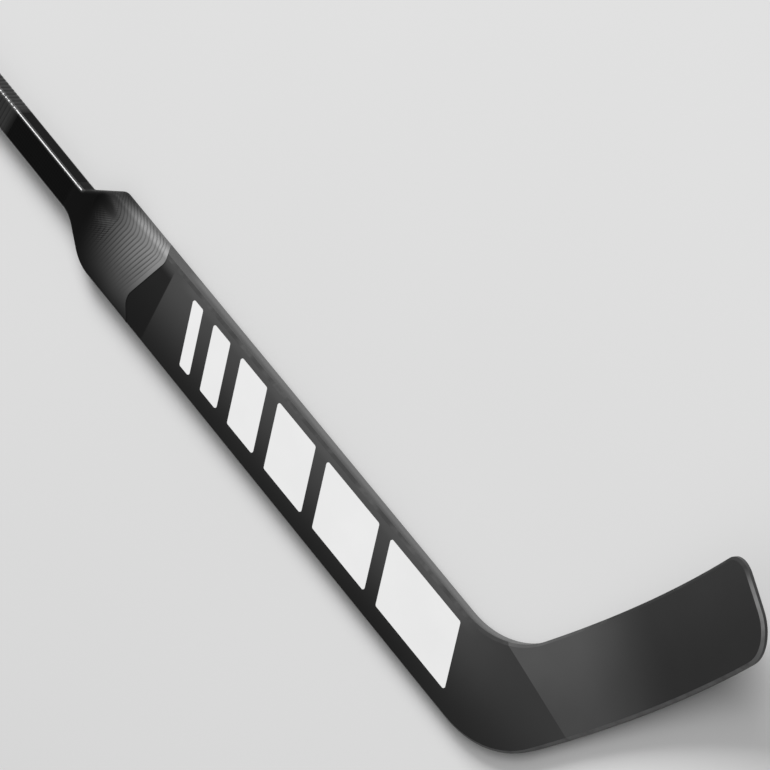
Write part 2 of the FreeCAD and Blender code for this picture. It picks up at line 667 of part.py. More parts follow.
def section(owner, name, shape, along_x="0", ring=False):
    """Rounded rectangle across the shaft's line, or with a ring everything outside it.

    The shape is given by expressions: half width, inset from the shaft's back and front, corner radius.
    """
    half_width, inset, corner = shape
    if owner is doc:
        sketch = doc.addObject("Sketcher::SketchObject", name)
        across = FreeCAD.Rotation(V(0, 1, 0), UP, V(1, 0, 0), "XYZ")
        sketch.Placement = FreeCAD.Placement(V(value_of(along_x), 0, 0), across)
    else:
        sketch = cross_sketch(owner, name, along_x)
    add_rounded(sketch, "in", half_width, inset, corner)
    if ring:
        out_half = "%s + %s" % (half_width, cell("blank_margin"))
        out_inset = "%s - %s" % (inset, cell("blank_margin"))
        add_rounded(sketch, "out", out_half, out_inset, corner)
    return sketch


def cross_sketch(owner, name, along_x):
    """Empty sketch of a body, square to the shaft at a place along it."""
    sketch = owner.newObject("Sketcher::SketchObject", name)
    plane = [item for item in owner.Origin.OriginFeatures if item.Role == "YZ_Plane"][0]
    sketch.AttachmentSupport = (plane, [""])
    sketch.MapMode = "FlatFace"
    sketch.setExpression("AttachmentOffset.Base.z", along_x)
    return sketch


def flat_slots(owner, name, half_width, inset, depth, along_x):
    """Two rectangles across the shaft's line that cut slots into the front and back of an inset section."""
    sketch = cross_sketch(owner, name, along_x)
    width = value_of(half_width)
    front_floor = "%s - (%s) - %s" % (cell("shaft_depth"), inset, depth)
    back_floor = "%s + %s" % (inset, depth)
    front_out = cell("shaft_depth") + " + " + cell("blank_margin")
    for prefix, floor, beyond, away in (
        ("front", front_floor, front_out, 1),
        ("back", back_floor, cell("blank_margin"), -1),
    ):
        low = value_of(floor)
        high = value_of(beyond) * away
        corners = [V(-width, low, 0), V(width, low, 0), V(width, high, 0), V(-width, high, 0)]
        sides = zip(corners, corners[1:] + corners[:1])
        lines = add_chain(sketch, [("line", here, there) for here, there in sides])
        for line, kind in zip(lines, ("Horizontal", "Vertical", "Horizontal", "Vertical")):
            sketch.addConstraint(Sketcher.Constraint(kind, line))
        bottom, top = lines[0], lines[2]
        drive(sketch, prefix + "_toe_side", half_width, "DistanceX", -1, 1, bottom, 2)
        drive(sketch, prefix + "_heel_side", half_width, "DistanceX", bottom, 1, -1, 1)
        drive(sketch, prefix + "_floor", floor, "DistanceY", -1, 1, bottom, 1)
        ends = (-1, 1, top, 1) if away > 0 else (top, 1, -1, 1)
        drive(sketch, prefix + "_beyond", beyond, "DistanceY", *ends)
    return sketch


def add_rounded(sketch, prefix, half_width, inset, corner):
    """Draws one rounded rectangle, symmetric about the shaft's middle, and binds its sizes."""
    width = value_of(half_width)
    low = value_of(inset)
    high = size("shaft_depth") - low
    bend = value_of(corner)
    centres = [V(width - bend, low + bend, 0), V(width - bend, high - bend, 0),
               V(bend - width, high - bend, 0), V(bend - width, low + bend, 0)]
    chain = []
    for index, centre in enumerate(centres):
        out = ray(90 * index - 90) * bend
        side = ray(90 * index) * bend
        chain.append(("left", centre + out, centre + side, centre))
        chain.append(("line", centre + side, centres[(index + 1) % len(centres)] + side))
    items = add_chain(sketch, chain, "Tangent")
    arcs, lines = items[::2], items[1::2]
    for line, kind in zip(lines, ("Vertical", "Horizontal", "Vertical", "Horizontal")):
        sketch.addConstraint(Sketcher.Constraint(kind, line))
    for arc in arcs[1:]:
        sketch.addConstraint(Sketcher.Constraint("Equal", arcs[0], arc))
    drive(sketch, prefix + "_corner", corner, "Radius", arcs[0])
    drive(sketch, prefix + "_toe_side", half_width, "DistanceX", -1, 1, lines[0], 1)
    drive(sketch, prefix + "_heel_side", half_width, "DistanceX", lines[2], 1, -1, 1)
    front = "%s - (%s)" % (cell("shaft_depth"), inset)
    drive(sketch, prefix + "_front", front, "DistanceY", -1, 1, lines[1], 1)
    if low < 0:
        drive(sketch, prefix + "_back", "-(%s)" % inset, "DistanceY", lines[3], 1, -1, 1)
    elif low > 0:
        drive(sketch, prefix + "_back", inset, "DistanceY", -1, 1, lines[3], 1)
    else:
        sketch.addConstraint(Sketcher.Constraint("PointOnObject", lines[3], 1, -1))


def new_body(name):
    """Empty body for one piece."""
    return doc.addObject("PartDesign::Body", name)


def pad(owner, name, sketch, length, towards_heel):
    """Pads a section along the shaft, towards the heel or towards the butt."""
    feature = owner.newObject("PartDesign::Pad", name)
    feature.Profile = sketch
    feature.setExpression("Length", length)
    feature.Reversed = not towards_heel
    sketch.Visibility = False
    doc.recompute()
    return feature


def pocket(owner, name, sketch, length, towards_heel):
    """Cuts a section along the shaft, towards the heel or towards the butt."""
    feature = owner.newObject("PartDesign::Pocket", name)
    feature.Profile = sketch
    feature.setExpression("Length", length)
    feature.Reversed = towards_heel
    sketch.Visibility = False
    doc.recompute()
    return feature


def repeat(owner, name, feature, sketch, length, count):
    """Repeats a feature along the shaft, towards the butt."""
    pattern = owner.newObject("PartDesign::LinearPattern", name)
    pattern.Originals = [feature]
    pattern.Direction = (sketch, ["N_Axis"])
    pattern.Reversed = True
    pattern.setExpression("Length", length)
    pattern.setExpression("Occurrences", count)
    owner.Tip = pattern
    doc.recompute()
    return pattern


butt_x = "-" + cell("shaft_length")
neck_x = "-" + cell("neck_length")
sleeve_x = "-" + cell("sleeve_start")
bore_half = half_shaft + " - " + cell("shaft_wall")
bore_corner = cell("shaft_corner") + " - " + cell("shaft_wall")
tenon_half = cell("tenon_width") + " / 2"
tenon_inset = "(%s - %s) / 2" % (cell("shaft_depth"), cell("tenon_depth"))
sleeve_half = half_shaft + " - " + cell("sleeve_thickness")
sleeve_corner = cell("shaft_corner") + " - " + cell("sleeve_thickness")
shaft_form = (half_shaft, "0", cell("shaft_corner"))
bore_form = (bore_half, cell("shaft_wall"), bore_corner)
bed_form = (sleeve_half, cell("sleeve_thickness"), sleeve_corner)
tenon_form = (tenon_half, tenon_inset, cell("tenon_corner"))
tenon_bore_form = (
    tenon_half + " - " + cell("tenon_wall"),
    tenon_inset + " + " + cell("tenon_wall"),
    cell("tenon_corner") + " - " + cell("tenon_wall"),
)
tenon_run = cell("neck_length") + " + " + cell("tenon_length")

# Hollow shaft with a solid neck, a hollow tenon, and a shallow seat for its grip.
shaft_tube = new_body("shaft_tube")
pad(shaft_tube, "shaft_pad", section(shaft_tube, "shaft_outer", shaft_form), cell("shaft_length"), False)
pad(shaft_tube, "tenon_pad", section(shaft_tube, "tenon_outer", tenon_form), cell("tenon_length"), True)
bore_section = section(shaft_tube, "bore_section", bore_form, neck_x)
pocket(shaft_tube, "bore", bore_section, cell("shaft_length"), False)
tenon_bore_section = section(shaft_tube, "tenon_bore_section", tenon_bore_form, neck_x)
pocket(shaft_tube, "tenon_bore", tenon_bore_section, tenon_run, True)
seat_section = section(shaft_tube, "seat_section", bed_form, sleeve_x, ring=True)
pocket(shaft_tube, "sleeve_seat", seat_section, cell("sleeve_length"), False)

# Foam that closes the bore above the neck and fills the tenon.
shaft_foam = new_body("shaft_foam")
pad(shaft_foam, "dam_pad", section(shaft_foam, "dam_section", bore_form, neck_x), cell("dam_length"), False)
pad(shaft_foam, "tenon_fill", section(shaft_foam, "fill_section", tenon_bore_form, neck_x), tenon_run, True)

# Grip sleeve, flush with the shaft, grooved across its front and back.
shaft_grip = new_body("shaft_grip")
sleeve_outer = section(shaft_grip, "sleeve_outer", shaft_form, sleeve_x)
pad(shaft_grip, "sleeve_pad", sleeve_outer, cell("sleeve_length"), False)
sleeve_inner = section(shaft_grip, "sleeve_inner", bed_form, sleeve_x)
pocket(shaft_grip, "sleeve_bore", sleeve_inner, cell("sleeve_length"), False)
flat_half = half_shaft + " - " + cell("shaft_corner")
groove_depth = cell("sleeve_groove_depth")
groove_width = cell("sleeve_groove_width")
groove_margin = cell("sleeve_groove_margin")
groove_start = sleeve_x + " - " + groove_margin
groove_run = "%s - 2 * %s - %s" % (cell("sleeve_length"), groove_margin, groove_width)
groove_slots = flat_slots(shaft_grip, "groove_slots", flat_half, "0", groove_depth, groove_start)
sleeve_groove = pocket(shaft_grip, "sleeve_groove", groove_slots, groove_width, False)
repeat(shaft_grip, "sleeve_ribs", sleeve_groove, groove_slots, groove_run, cell("sleeve_grooves"))

# End plug: a stem in the bore, relieved across its front and back, and a bevelled cap over the shaft's end.
butt_plug = new_body("butt_plug")
stem_section = section(butt_plug, "stem_section", bore_form, butt_x)
pad(butt_plug, "stem", stem_section, cell("plug_stem_length"), True)
relief_half = bore_half + " - (%s)" % bore_corner
relief_depth = cell("plug_relief_depth")
relief_x = "%s + %s - %s" % (butt_x, cell("plug_stem_length"), cell("plug_relief_width"))
relief_run = "%s * (%s - 1)" % (cell("plug_relief_pitch"), cell("plug_reliefs"))
relief_slots = flat_slots(butt_plug, "relief_slots", relief_half, cell("shaft_wall"), relief_depth, relief_x)
relief = pocket(butt_plug, "stem_relief", relief_slots, cell("plug_relief_width"), False)
repeat(butt_plug, "stem_reliefs", relief, relief_slots, relief_run, cell("plug_reliefs"))
cap_section = section(butt_plug, "cap_section", shaft_form, butt_x)
cap = pad(butt_plug, "cap", cap_section, cell("plug_cap_length"), False)
cap_end = value_of(butt_x) - size("plug_cap_length")
rim = ["Edge%d" % number for number, edge in enumerate(cap.Shape.Edges, start=1)
       if all(abs(vertex.Point.x - cap_end) < size("skin") * FINE_SHARE for vertex in edge.Vertexes)]
cap_bevel = butt_plug.newObject("PartDesign::Chamfer", "cap_bevel")
cap_bevel.Base = (cap, rim)
cap_bevel.setExpression("Size", cell("plug_cap_chamfer"))
butt_plug.Tip = cap_bevel
doc.recompute()

# Socket for the tenon, then rails and cores on either side of the seam.
socket = extrude("socket", section(doc, "socket_section", tenon_form), V(1, 0, 0), cell("tenon_length"))
core = cut("cores", common("whole_core", middle, core_block), socket)
ring = cut("rails", cut("whole_ring", middle, core_block), socket)
paddle_ring = cut("paddle_ring", ring, blade_side)
heel_top_x = "%s - %s" % (heel_x, cell("heel_block_length"))
heel_end_x = "%s + %s" % (heel_x, cell("paddle_heel_width"))
spine_range = ("-%s / 2" % cell("spine_width"), cell("spine_width") + " / 2")
toe_half = box("toe_half", ("-" + reach, heel_x), ("0", cell("paddle_heel_width")), depth_range)
heel_zone = box("heel_zone", (heel_top_x, heel_end_x), side_range, depth_range)
spine_bar = box("spine_bar", (cell("tenon_length"), heel_top_x), spine_range, depth_range)
paddle_core = cut("paddle_core", core, blade_side)
core_above_heel = cut("core_above_heel", paddle_core, heel_zone)
upper_paddle_core = cut("upper_paddle_core", core_above_heel, spine_bar)
blade_core = common("blade_core", core, blade_side)


def bow_cylinder(name, radius):
    """Upright cylinder about the centre of the blade's bow."""
    tool = doc.addObject("Part::Cylinder", name)
    tool.setExpression("Radius", radius)
    tool.setExpression("Height", "2 * " + cell("blank_height"))
    tool.Placement = FreeCAD.Placement(bow_centre - UP * size("blank_margin"), FreeCAD.Rotation())
    return tool


rib_radius = "%s - %s / 2" % (cell("rocker_radius"), cell("blade_height"))
rib_outside = bow_cylinder("rib_outside", "%s + %s / 2" % (rib_radius, cell("rib_width")))
rib_inside = bow_cylinder("rib_inside", "%s - %s / 2" % (rib_radius, cell("rib_width")))
rib_band = common("rib_band", common("tongued_core", core, tongue_side), rib_outside)
blade_rib = cut("blade_rib", rib_band, rib_inside)

pieces = {
    "shaft_tube": shaft_tube,
    "shaft_foam": shaft_foam,
    "shaft_grip": shaft_grip,
    "butt_plug": butt_plug,
    "shoulder_grip": shoulder_grip,
    "paddle_front_skin": cut("paddle_front_skin", front_layer, blade_side),
    "paddle_back_skin": cut("paddle_back_skin", back_layer, blade_side),
    "paddle_toe_rail": common("paddle_toe_rail", paddle_ring, toe_half),
    "paddle_heel_rail": cut("paddle_heel_rail", paddle_ring, toe_half),
    "paddle_spine": common("paddle_spine", paddle_core, spine_bar),
    "paddle_toe_core": common("paddle_toe_core", upper_paddle_core, toe_half),
    "paddle_heel_core": cut("paddle_heel_core", upper_paddle_core, toe_half),
    "heel_block": cut("heel_block", common("heel_core", paddle_core, heel_zone), blade_rib),
    "blade_front_skin": common("blade_front_skin", front_layer, blade_side),
    "blade_back_skin": common("blade_back_skin", back_layer, blade_side),
    "blade_edge_band": common("blade_edge_band", ring, blade_side),
    "blade_upper_core": common("blade_upper_core", blade_core, rib_inside),
    "blade_lower_core": cut("blade_lower_core", blade_core, rib_outside),
    "blade_rib": blade_rib,
}
doc.recompute()

os.makedirs("parts", exist_ok=True)
for item in doc.Objects:
    if "Invalid" in item.State or "Error" in item.State:
        raise RuntimeError("%s did not rebuild" % item.Name)
for label, piece in pieces.items():
    piece.Label = label
    shape = piece.Shape
    if shape.isNull() or not shape.isValid() or len(shape.Solids) != 1:
        raise RuntimeError("%s is not one sound solid" % label)
    shape.exportStep("parts/%s.step" % label)
    print(label, round(shape.Volume), len(shape.Faces))
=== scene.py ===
# %% [markdown]
# # A goalie stick, dressed in Blender
# The solids of the stick come in as a fixed frame, in metres. The stick lies on its flat back: X runs down
# the shaft to the heel, Y from the heel side to the toe, and Z up out of the forehand face. Nothing in the
# frame is moved. This lesson gives each solid its finish, replaces the two ribbed grips by finer ones, and
# adds a clear coat on the shaft and white bars on the paddle.

# %% Load the solids
import math

import bmesh
import bpy
import numpy as np
from mathutils import Matrix, Vector


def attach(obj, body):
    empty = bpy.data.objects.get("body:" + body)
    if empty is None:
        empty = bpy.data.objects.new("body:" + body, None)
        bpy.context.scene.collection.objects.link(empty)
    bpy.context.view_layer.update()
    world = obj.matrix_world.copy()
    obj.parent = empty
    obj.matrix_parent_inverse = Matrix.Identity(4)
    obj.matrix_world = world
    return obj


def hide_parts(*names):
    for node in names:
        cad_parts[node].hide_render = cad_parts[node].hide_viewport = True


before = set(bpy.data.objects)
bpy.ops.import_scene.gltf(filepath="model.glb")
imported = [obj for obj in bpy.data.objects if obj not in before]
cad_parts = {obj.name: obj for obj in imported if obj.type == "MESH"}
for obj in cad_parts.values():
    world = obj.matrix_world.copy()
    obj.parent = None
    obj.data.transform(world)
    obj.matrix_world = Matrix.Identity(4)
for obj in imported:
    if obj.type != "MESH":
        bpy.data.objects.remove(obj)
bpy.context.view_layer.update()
BODY = "root"
MM = 0.001

# %% [markdown]
# ## Camera
# The picture was taken with a long lens from above the toe, so the paddle hardly narrows with distance. A
# camera could be moved by eye until the outlines agree. Here it is described as a surveyor would: two turns
# that tip the stick towards the lens, a roll, the distance, and the place in the picture where one known
# mark on the paddle appears. Each of these can be checked and corrected alone. No lens shift is needed.

# %% Camera
PICTURE_SIZE = 770
FOCAL_LENGTH = 4299.7
DISTANCE = 3.906
TIP_TO_TOE = 0.5849
TIP_TO_HEEL = 0.4869
ROLL = 0.6968
MARK = Vector((0.353, 0.0, 0.0))
MARK_PICTURE_X = 290.97
MARK_PICTURE_Y = 449.17
SENSOR_WIDTH = 36.0

level = Vector((0.0, math.cos(TIP_TO_TOE), -math.sin(TIP_TO_TOE)))
upright = Vector((-math.cos(TIP_TO_HEEL), math.sin(TIP_TO_TOE) * math.sin(TIP_TO_HEEL),
                  math.cos(TIP_TO_TOE) * math.sin(TIP_TO_HEEL)))
towards_lens = level.cross(upright)
right = math.cos(ROLL) * level - math.sin(ROLL) * upright
up = math.sin(ROLL) * level + math.cos(ROLL) * upright
aside = (MARK_PICTURE_X - PICTURE_SIZE / 2) / FOCAL_LENGTH * DISTANCE
above = (PICTURE_SIZE / 2 - MARK_PICTURE_Y) / FOCAL_LENGTH * DISTANCE
lens_place = MARK + DISTANCE * towards_lens - aside * right - above * up

camera_data = bpy.data.cameras.new("camera")
camera_data.sensor_width = SENSOR_WIDTH
camera_data.lens = FOCAL_LENGTH / PICTURE_SIZE * SENSOR_WIDTH
camera = bpy.data.objects.new("camera", camera_data)
bpy.context.scene.collection.objects.link(camera)
turn = Matrix((right, up, towards_lens)).transposed().to_4x4()
camera.matrix_world = Matrix.Translation(lens_place) @ turn
bpy.context.scene.camera = camera
bpy.context.scene.view_settings.view_transform = "Standard"
print("camera at", [round(v, 3) for v in lens_place], "lens", round(camera_data.lens, 1), "mm")

# %% [markdown]
# ## Small helpers for finishes
# A finish is a tree of nodes. It could be put together by hand in the shader editor, but a script shows
# every value and makes the same tree each time. A few short functions keep it readable: one adds a node and
# fills its sockets, and the others wrap the nodes that come back most. Greys are written as a picture shows
# them, from 0 to 255.

# %% Greys as in a picture
WHITE_LEVEL = 255
STRAIGHT_BELOW = 0.04045
STRAIGHT_SLOPE = 12.92
CURVE_OFFSET = 0.055
CURVE_POWER = 2.4


def tone(level):
    """The linear value of a grey written as in a picture, from 0 to 255."""
    share = level / WHITE_LEVEL
    if share <= STRAIGHT_BELOW:
        return share / STRAIGHT_SLOPE
    return ((share + CURVE_OFFSET) / (1 + CURVE_OFFSET)) ** CURVE_POWER


def grey(level, warmth=0.0):
    """A near-neutral colour of that picture grey; warmth above zero leans to brown."""
    value = tone(level)
    return (value * (1 + warmth), value, value * (1 - warmth), 1.0)


print("half of picture white is linear", round(tone(WHITE_LEVEL / 2), 3))


# %% Nodes and what they work out
def fill(tree, node, **inputs):
    """Fills a node's sockets with links or values. A socket goes by its name, or by its number, as in i0."""
    for name, value in inputs.items():
        key = int(name[1:]) if name[0] == "i" and name[1:].isdigit() else name.replace("_", " ")
        if isinstance(value, bpy.types.NodeSocket):
            tree.links.new(value, node.inputs[key])
        else:
            node.inputs[key].default_value = value
    return node


def add_node(tree, kind, settings=None, **inputs):
    """A node with its settings made and its sockets filled."""
    node = tree.nodes.new(kind)
    for name, value in (settings or {}).items():
        setattr(node, name, value)
    return fill(tree, node, **inputs)


def math_node(tree, operation, first, second=0.0):
    """One operation on values."""
    return add_node(tree, "ShaderNodeMath", {"operation": operation}, i0=first, i1=second).outputs[0]


def product(tree, first, *others):
    """Values multiplied together."""
    for other in others:
        first = math_node(tree, "MULTIPLY", first, other)
    return first


def weighted_sum(tree, first, first_weight, second, second_weight):
    """Two values, each times its weight, added."""
    return math_node(tree, "ADD", product(tree, first, first_weight), product(tree, second, second_weight))


def ramp(tree, value, start, end, low=0.0, high=1.0):
    """A smooth step of a value from low to high between start and end."""
    return add_node(tree, "ShaderNodeMapRange", {"interpolation_type": "SMOOTHSTEP"}, Value=value,
                    From_Min=start, From_Max=end, To_Min=low, To_Max=high).outputs["Result"]


def noise(tree, point, per_metre, detail):
    """A soft noise over the surface, from 0 to 1."""
    return add_node(tree, "ShaderNodeTexNoise", Vector=point, Scale=per_metre, Detail=detail).outputs["Fac"]


print("node helpers:", [f.__name__ for f in (add_node, math_node, product, weighted_sum, ramp, noise)])


# %% Colours, places and materials
def blend_colour(tree, share, first, second, way="MIX"):
    """Two colours mixed by a share. Sockets 0, 6 and 7 of the node are the share and the two colours."""
    return add_node(tree, "ShaderNodeMix", {"data_type": "RGBA", "blend_type": way},
                    i0=share, i6=first, i7=second).outputs[2]


def multiplied(tree, colour, factor, share=1.0):
    """A colour times a factor that changes over the surface, by a share."""
    return blend_colour(tree, share, colour, factor, "MULTIPLY")


def shade(tree, share, levels):
    """A grey between two picture greys, by a share."""
    return blend_colour(tree, share, grey(levels[0]), grey(levels[1]))


def place(tree):
    """The point on the piece, and its three numbers apart."""
    point = add_node(tree, "ShaderNodeTexCoord").outputs["Object"]
    parts = add_node(tree, "ShaderNodeSeparateXYZ", Vector=point).outputs
    return point, parts["X"], parts["Y"], parts["Z"]


def levelness(tree):
    """How level the surface lies: 1 on the flat faces, 0 on upright walls."""
    normal = add_node(tree, "ShaderNodeTexCoord").outputs["Normal"]
    return math_node(tree, "ABSOLUTE", add_node(tree, "ShaderNodeSeparateXYZ", Vector=normal).outputs["Z"])


def bumped(tree, height, strength, depth):
    """A normal that is tipped by a height that changes over the surface."""
    bump = add_node(tree, "ShaderNodeBump", Strength=strength, Distance=depth, Height=height)
    return bump.outputs["Normal"]


def new_material(name):
    """A material with its tree and its shader."""
    material = bpy.data.materials.new(name)
    material.use_nodes = True
    tree = material.node_tree
    return material, tree, tree.nodes["Principled BSDF"]


def dress(material, *names):
    """Puts a material on solids of the frame."""
    for name in names:
        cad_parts[name].material_slots[0].material = material
    print(material.name, "on", len(names), "solids")


print("a warm grey is", [round(v, 3) for v in grey(WHITE_LEVEL / 2, 0.05)])

# %% [markdown]
# ## Floor and light
# A dark stick shows its form by the light along its edges. Many small lamps could draw each edge, but two
# soft ones are plainer and look right from all sides. The wide one stands on the toe side. The smaller one
# stands where the shaft's rounded front corner mirrors it to the camera, which draws a thin bright line
# there. The plain grey world fills the rest. The paleness of the floor is its own colour, which darkens
# towards the lamps, so it doesn't clip.

# %% Floor
FLOOR_HALF = 20.0
FLOOR_GAP = 0.3 * MM
FLOOR_CORNERS = ((-1, -1), (1, -1), (1, 1), (-1, 1))
FLOOR_LEVELS = (218, 223)
MOTTLE_PER_METRE = 1.5
MOTTLE_DETAIL = 2.0
DIM_RUN = (-0.5, 5.5)
DIM_SHARE = 0.5
FLOOR_ROUGHNESS = 0.9
FLOOR_GLOSS = 0.1

floor_mesh = bpy.data.meshes.new("floor")
floor_points = [(x * FLOOR_HALF, y * FLOOR_HALF, -FLOOR_GAP) for x, y in FLOOR_CORNERS]
floor_mesh.from_pydata(floor_points, [], [range(len(FLOOR_CORNERS))])
floor = bpy.data.objects.new("floor", floor_mesh)
bpy.context.scene.collection.objects.link(floor)
floor_paper, tree, shader = new_material("floor_paper")
point, _, across, _ = place(tree)
paper = shade(tree, noise(tree, point, MOTTLE_PER_METRE, MOTTLE_DETAIL), FLOOR_LEVELS)
under_lamps = ramp(tree, across, *DIM_RUN, 1.0, DIM_SHARE)
fill(tree, shader, Base_Color=multiplied(tree, paper, under_lamps), Roughness=FLOOR_ROUGHNESS,
     Specular_IOR_Level=FLOOR_GLOSS)
floor_mesh.materials.append(floor_paper)
print("floor:", 2 * FLOOR_HALF, "m wide")

# %% World and lamps
WORLD_COLOUR = (1.0, 1.0, 1.0, 1.0)
WORLD_LEVEL = 0.27
PADDLE_MIDDLE = Vector((0.42, 0.05, 0.0))
TOE_LAMP_WAY = Vector((0.25, 1.0, 0.9))
TOE_LAMP = {"distance": 10.2, "width": 7.0, "height": 4.5, "power": 466.0}
SHAFT_CORNER = Vector((-0.05, 0.014, 0.018))
CORNER_NORMAL = Vector((0.0, 1.0, 1.0)).normalized()
CORNER_LAMP = {"distance": 9.6, "width": 4.8, "height": 2.9, "power": 980.0}

world = bpy.data.worlds.new("studio")
bpy.context.scene.world = world
world.use_nodes = True
fill(world.node_tree, world.node_tree.nodes["Background"], Color=WORLD_COLOUR, Strength=WORLD_LEVEL)


def add_lamp(name, target, way, distance, width, height, power):
    """A soft rectangular lamp that looks at its target from a given way."""
    data = bpy.data.lights.new(name, "AREA")
    data.shape = "RECTANGLE"
    data.size = width
    data.size_y = height
    data.energy = power
    lamp = bpy.data.objects.new(name, data)
    bpy.context.scene.collection.objects.link(lamp)
    heading = way.normalized()
    lamp.location = target + distance * heading
    lamp.rotation_euler = heading.to_track_quat("Z", "Y").to_euler()


mirrored = 2 * towards_lens.dot(CORNER_NORMAL) * CORNER_NORMAL - towards_lens
add_lamp("toe_side_lamp", PADDLE_MIDDLE, TOE_LAMP_WAY, **TOE_LAMP)
add_lamp("corner_lamp", SHAFT_CORNER, mirrored, **CORNER_LAMP)

# %% [markdown]
# ## Effects that several finishes share
# Four effects come back in most finishes: a fine grain in the paint, a mask of the bevelled edges, dust
# that dulls the gloss in patches, and the weave of bare fibre. On the paint the edge mask dulls the gloss of
# the bevels as rubbing does, and it carries painted light in their colour. They could be painted as
# pictures, but a pattern worked out from the point itself stays sharp at any size and needs no unwrapping.
# Each is built once as a node group with named inputs. A group only gives masks and values; the shader
# itself stays in each material.


# %% Groups: how they are made and used
def new_group(name, inputs, outputs):
    """An empty shader group with number sockets; returns it with its given values and its end node."""
    group = bpy.data.node_groups.new(name, "ShaderNodeTree")
    for label, value in inputs.items():
        socket = group.interface.new_socket(label, in_out="INPUT", socket_type="NodeSocketFloat")
        socket.default_value = value
    for label in outputs:
        group.interface.new_socket(label, in_out="OUTPUT", socket_type="NodeSocketFloat")
    return group, group.nodes.new("NodeGroupInput").outputs, group.nodes.new("NodeGroupOutput")


def use_group(tree, group, **inputs):
    """A group placed in a material with its own values; returns its outputs."""
    return add_node(tree, "ShaderNodeGroup", {"node_tree": group}, **inputs).outputs


print("groups so far:", len(bpy.data.node_groups))

# %% Groups: grain and dust
GRAIN_DETAIL = 2.0
CLOUD_DETAIL = 3.0
DUST_DETAIL = 5.0
DUST_SPAN = (0.4, 0.75)

paint_grain, given, end = new_group("paint_grain", {"Grains per metre": 900.0, "Cloud per metre": 9.0},
                                    ["Grain", "Cloud"])
point, _, _, _ = place(paint_grain)
fill(paint_grain, end, Grain=noise(paint_grain, point, given["Grains per metre"], GRAIN_DETAIL),
     Cloud=noise(paint_grain, point, given["Cloud per metre"], CLOUD_DETAIL))

settled_dust, given, end = new_group("settled_dust", {"Patches per metre": 14.0}, ["Dust"])
point, _, _, _ = place(settled_dust)
patches = noise(settled_dust, point, given["Patches per metre"], DUST_DETAIL)
fill(settled_dust, end, Dust=ramp(settled_dust, patches, *DUST_SPAN))
print("grain and dust:", len(paint_grain.nodes), "and", len(settled_dust.nodes), "nodes")

# %% Group: edge mask, for rubbing and painted light
SOFT_ABOVE = 0.08
SOFT_BELOW = 0.2
BREAK_DETAIL = 3.0
BREAK_SPAN = (0.25, 0.6)
BREAK_LEAVES = 0.55

# A mask of the tipped, bevelled faces: on paint it dulls the gloss and carries painted light in the colour;
# on the shaft and grip it gives the coat.
edge_rub_and_light, given, end = new_group(
    "edge_rub_and_light", {"Lowest slope": 0.3, "Highest slope": 0.88, "Breaks per metre": 60.0}, ["Rub"])
point, _, _, _ = place(edge_rub_and_light)
lies_level = levelness(edge_rub_and_light)
highest = given["Highest slope"]
lowest = given["Lowest slope"]
tipped = ramp(edge_rub_and_light, lies_level, highest, math_node(edge_rub_and_light, "SUBTRACT", highest, SOFT_ABOVE))
not_steep = ramp(edge_rub_and_light, lies_level, lowest, math_node(edge_rub_and_light, "ADD", lowest, SOFT_BELOW))
breaks = noise(edge_rub_and_light, point, given["Breaks per metre"], BREAK_DETAIL)
unbroken = ramp(edge_rub_and_light, breaks, *BREAK_SPAN, BREAK_LEAVES, 1.0)
fill(edge_rub_and_light, end, Rub=product(edge_rub_and_light, tipped, not_steep, unbroken))
print("rubbed edge:", len(edge_rub_and_light.nodes), "nodes")

# %% Group: fibre weave
TOW_EDGE = 0.5

fibre_weave, given, end = new_group("fibre_weave", {"Tows per metre": 320.0}, ["Over"])
_, along, across, _ = place(fibre_weave)
half_turns = product(fibre_weave, given["Tows per metre"], math.pi)
tows = []
for way in ("ADD", "SUBTRACT"):
    diagonal = math_node(fibre_weave, way, along, across)
    tows.append(math_node(fibre_weave, "SINE", product(fibre_weave, diagonal, half_turns)))
fill(fibre_weave, end, Over=ramp(fibre_weave, product(fibre_weave, *tows), -TOW_EDGE, TOW_EDGE))
print("groups:", [g.name for g in bpy.data.node_groups])

# %% [markdown]
# ## Paint on the paddle
# The paddle is sprayed charcoal, with a darker, slightly glossier band under the grip, and its bevels are
# rubbed dull. Light and shade are painted into its colour: face and band are darker towards the heel side
# and lighter towards the toe side, the toe edge is painted paler, the wall below that edge gets a painted
# highlight towards the back, and the bevels get painted highlight and shade. A painted picture could carry
# all this. A fade, however, is only a smooth step of the point's own X, Y and Z, so it stays on the paint
# whatever the view. The band's lower edge is a straight line, a little askew.

# %% Paint: the shared finish
CLOUD_SPAN = (0.3, 0.7)
PAINT_CLOUD = (0.93, 1.07)
PAINT_GLOSS = 0.2
PAINT_BUMP = {"strength": 0.12, "depth": 0.06 * MM}
DUST_DULLS = 0.08
RUB_DULLS = 0.45
BEVEL_LIGHT_SHARE = 0.85


def finish_paint(tree, shader, colour, roughness, bevel_light_colour):
    """Adds the shared effects to a paint: clouds, rubbed edges that dull the gloss and carry the given
    painted light on the bevels, dust in the gloss, and a fine grain.
    """
    grain = use_group(tree, paint_grain)
    dust = use_group(tree, settled_dust)["Dust"]
    bevel_mask = use_group(tree, edge_rub_and_light)["Rub"]
    clouded = multiplied(tree, colour, ramp(tree, grain["Cloud"], *CLOUD_SPAN, *PAINT_CLOUD))
    dulled = weighted_sum(tree, dust, DUST_DULLS, bevel_mask, RUB_DULLS)
    # The bevels' colour is painted light, highlight or shade given by each paint; rubbing only dulls their
    # gloss.
    fill(tree, shader, Base_Color=blend_colour(tree, product(tree, bevel_mask, BEVEL_LIGHT_SHARE), clouded, bevel_light_colour),
         Roughness=math_node(tree, "ADD", roughness, dulled), Specular_IOR_Level=PAINT_GLOSS,
         Normal=bumped(tree, grain["Grain"], **PAINT_BUMP))


print("paint is rubbed by", BEVEL_LIGHT_SHARE, "at most")

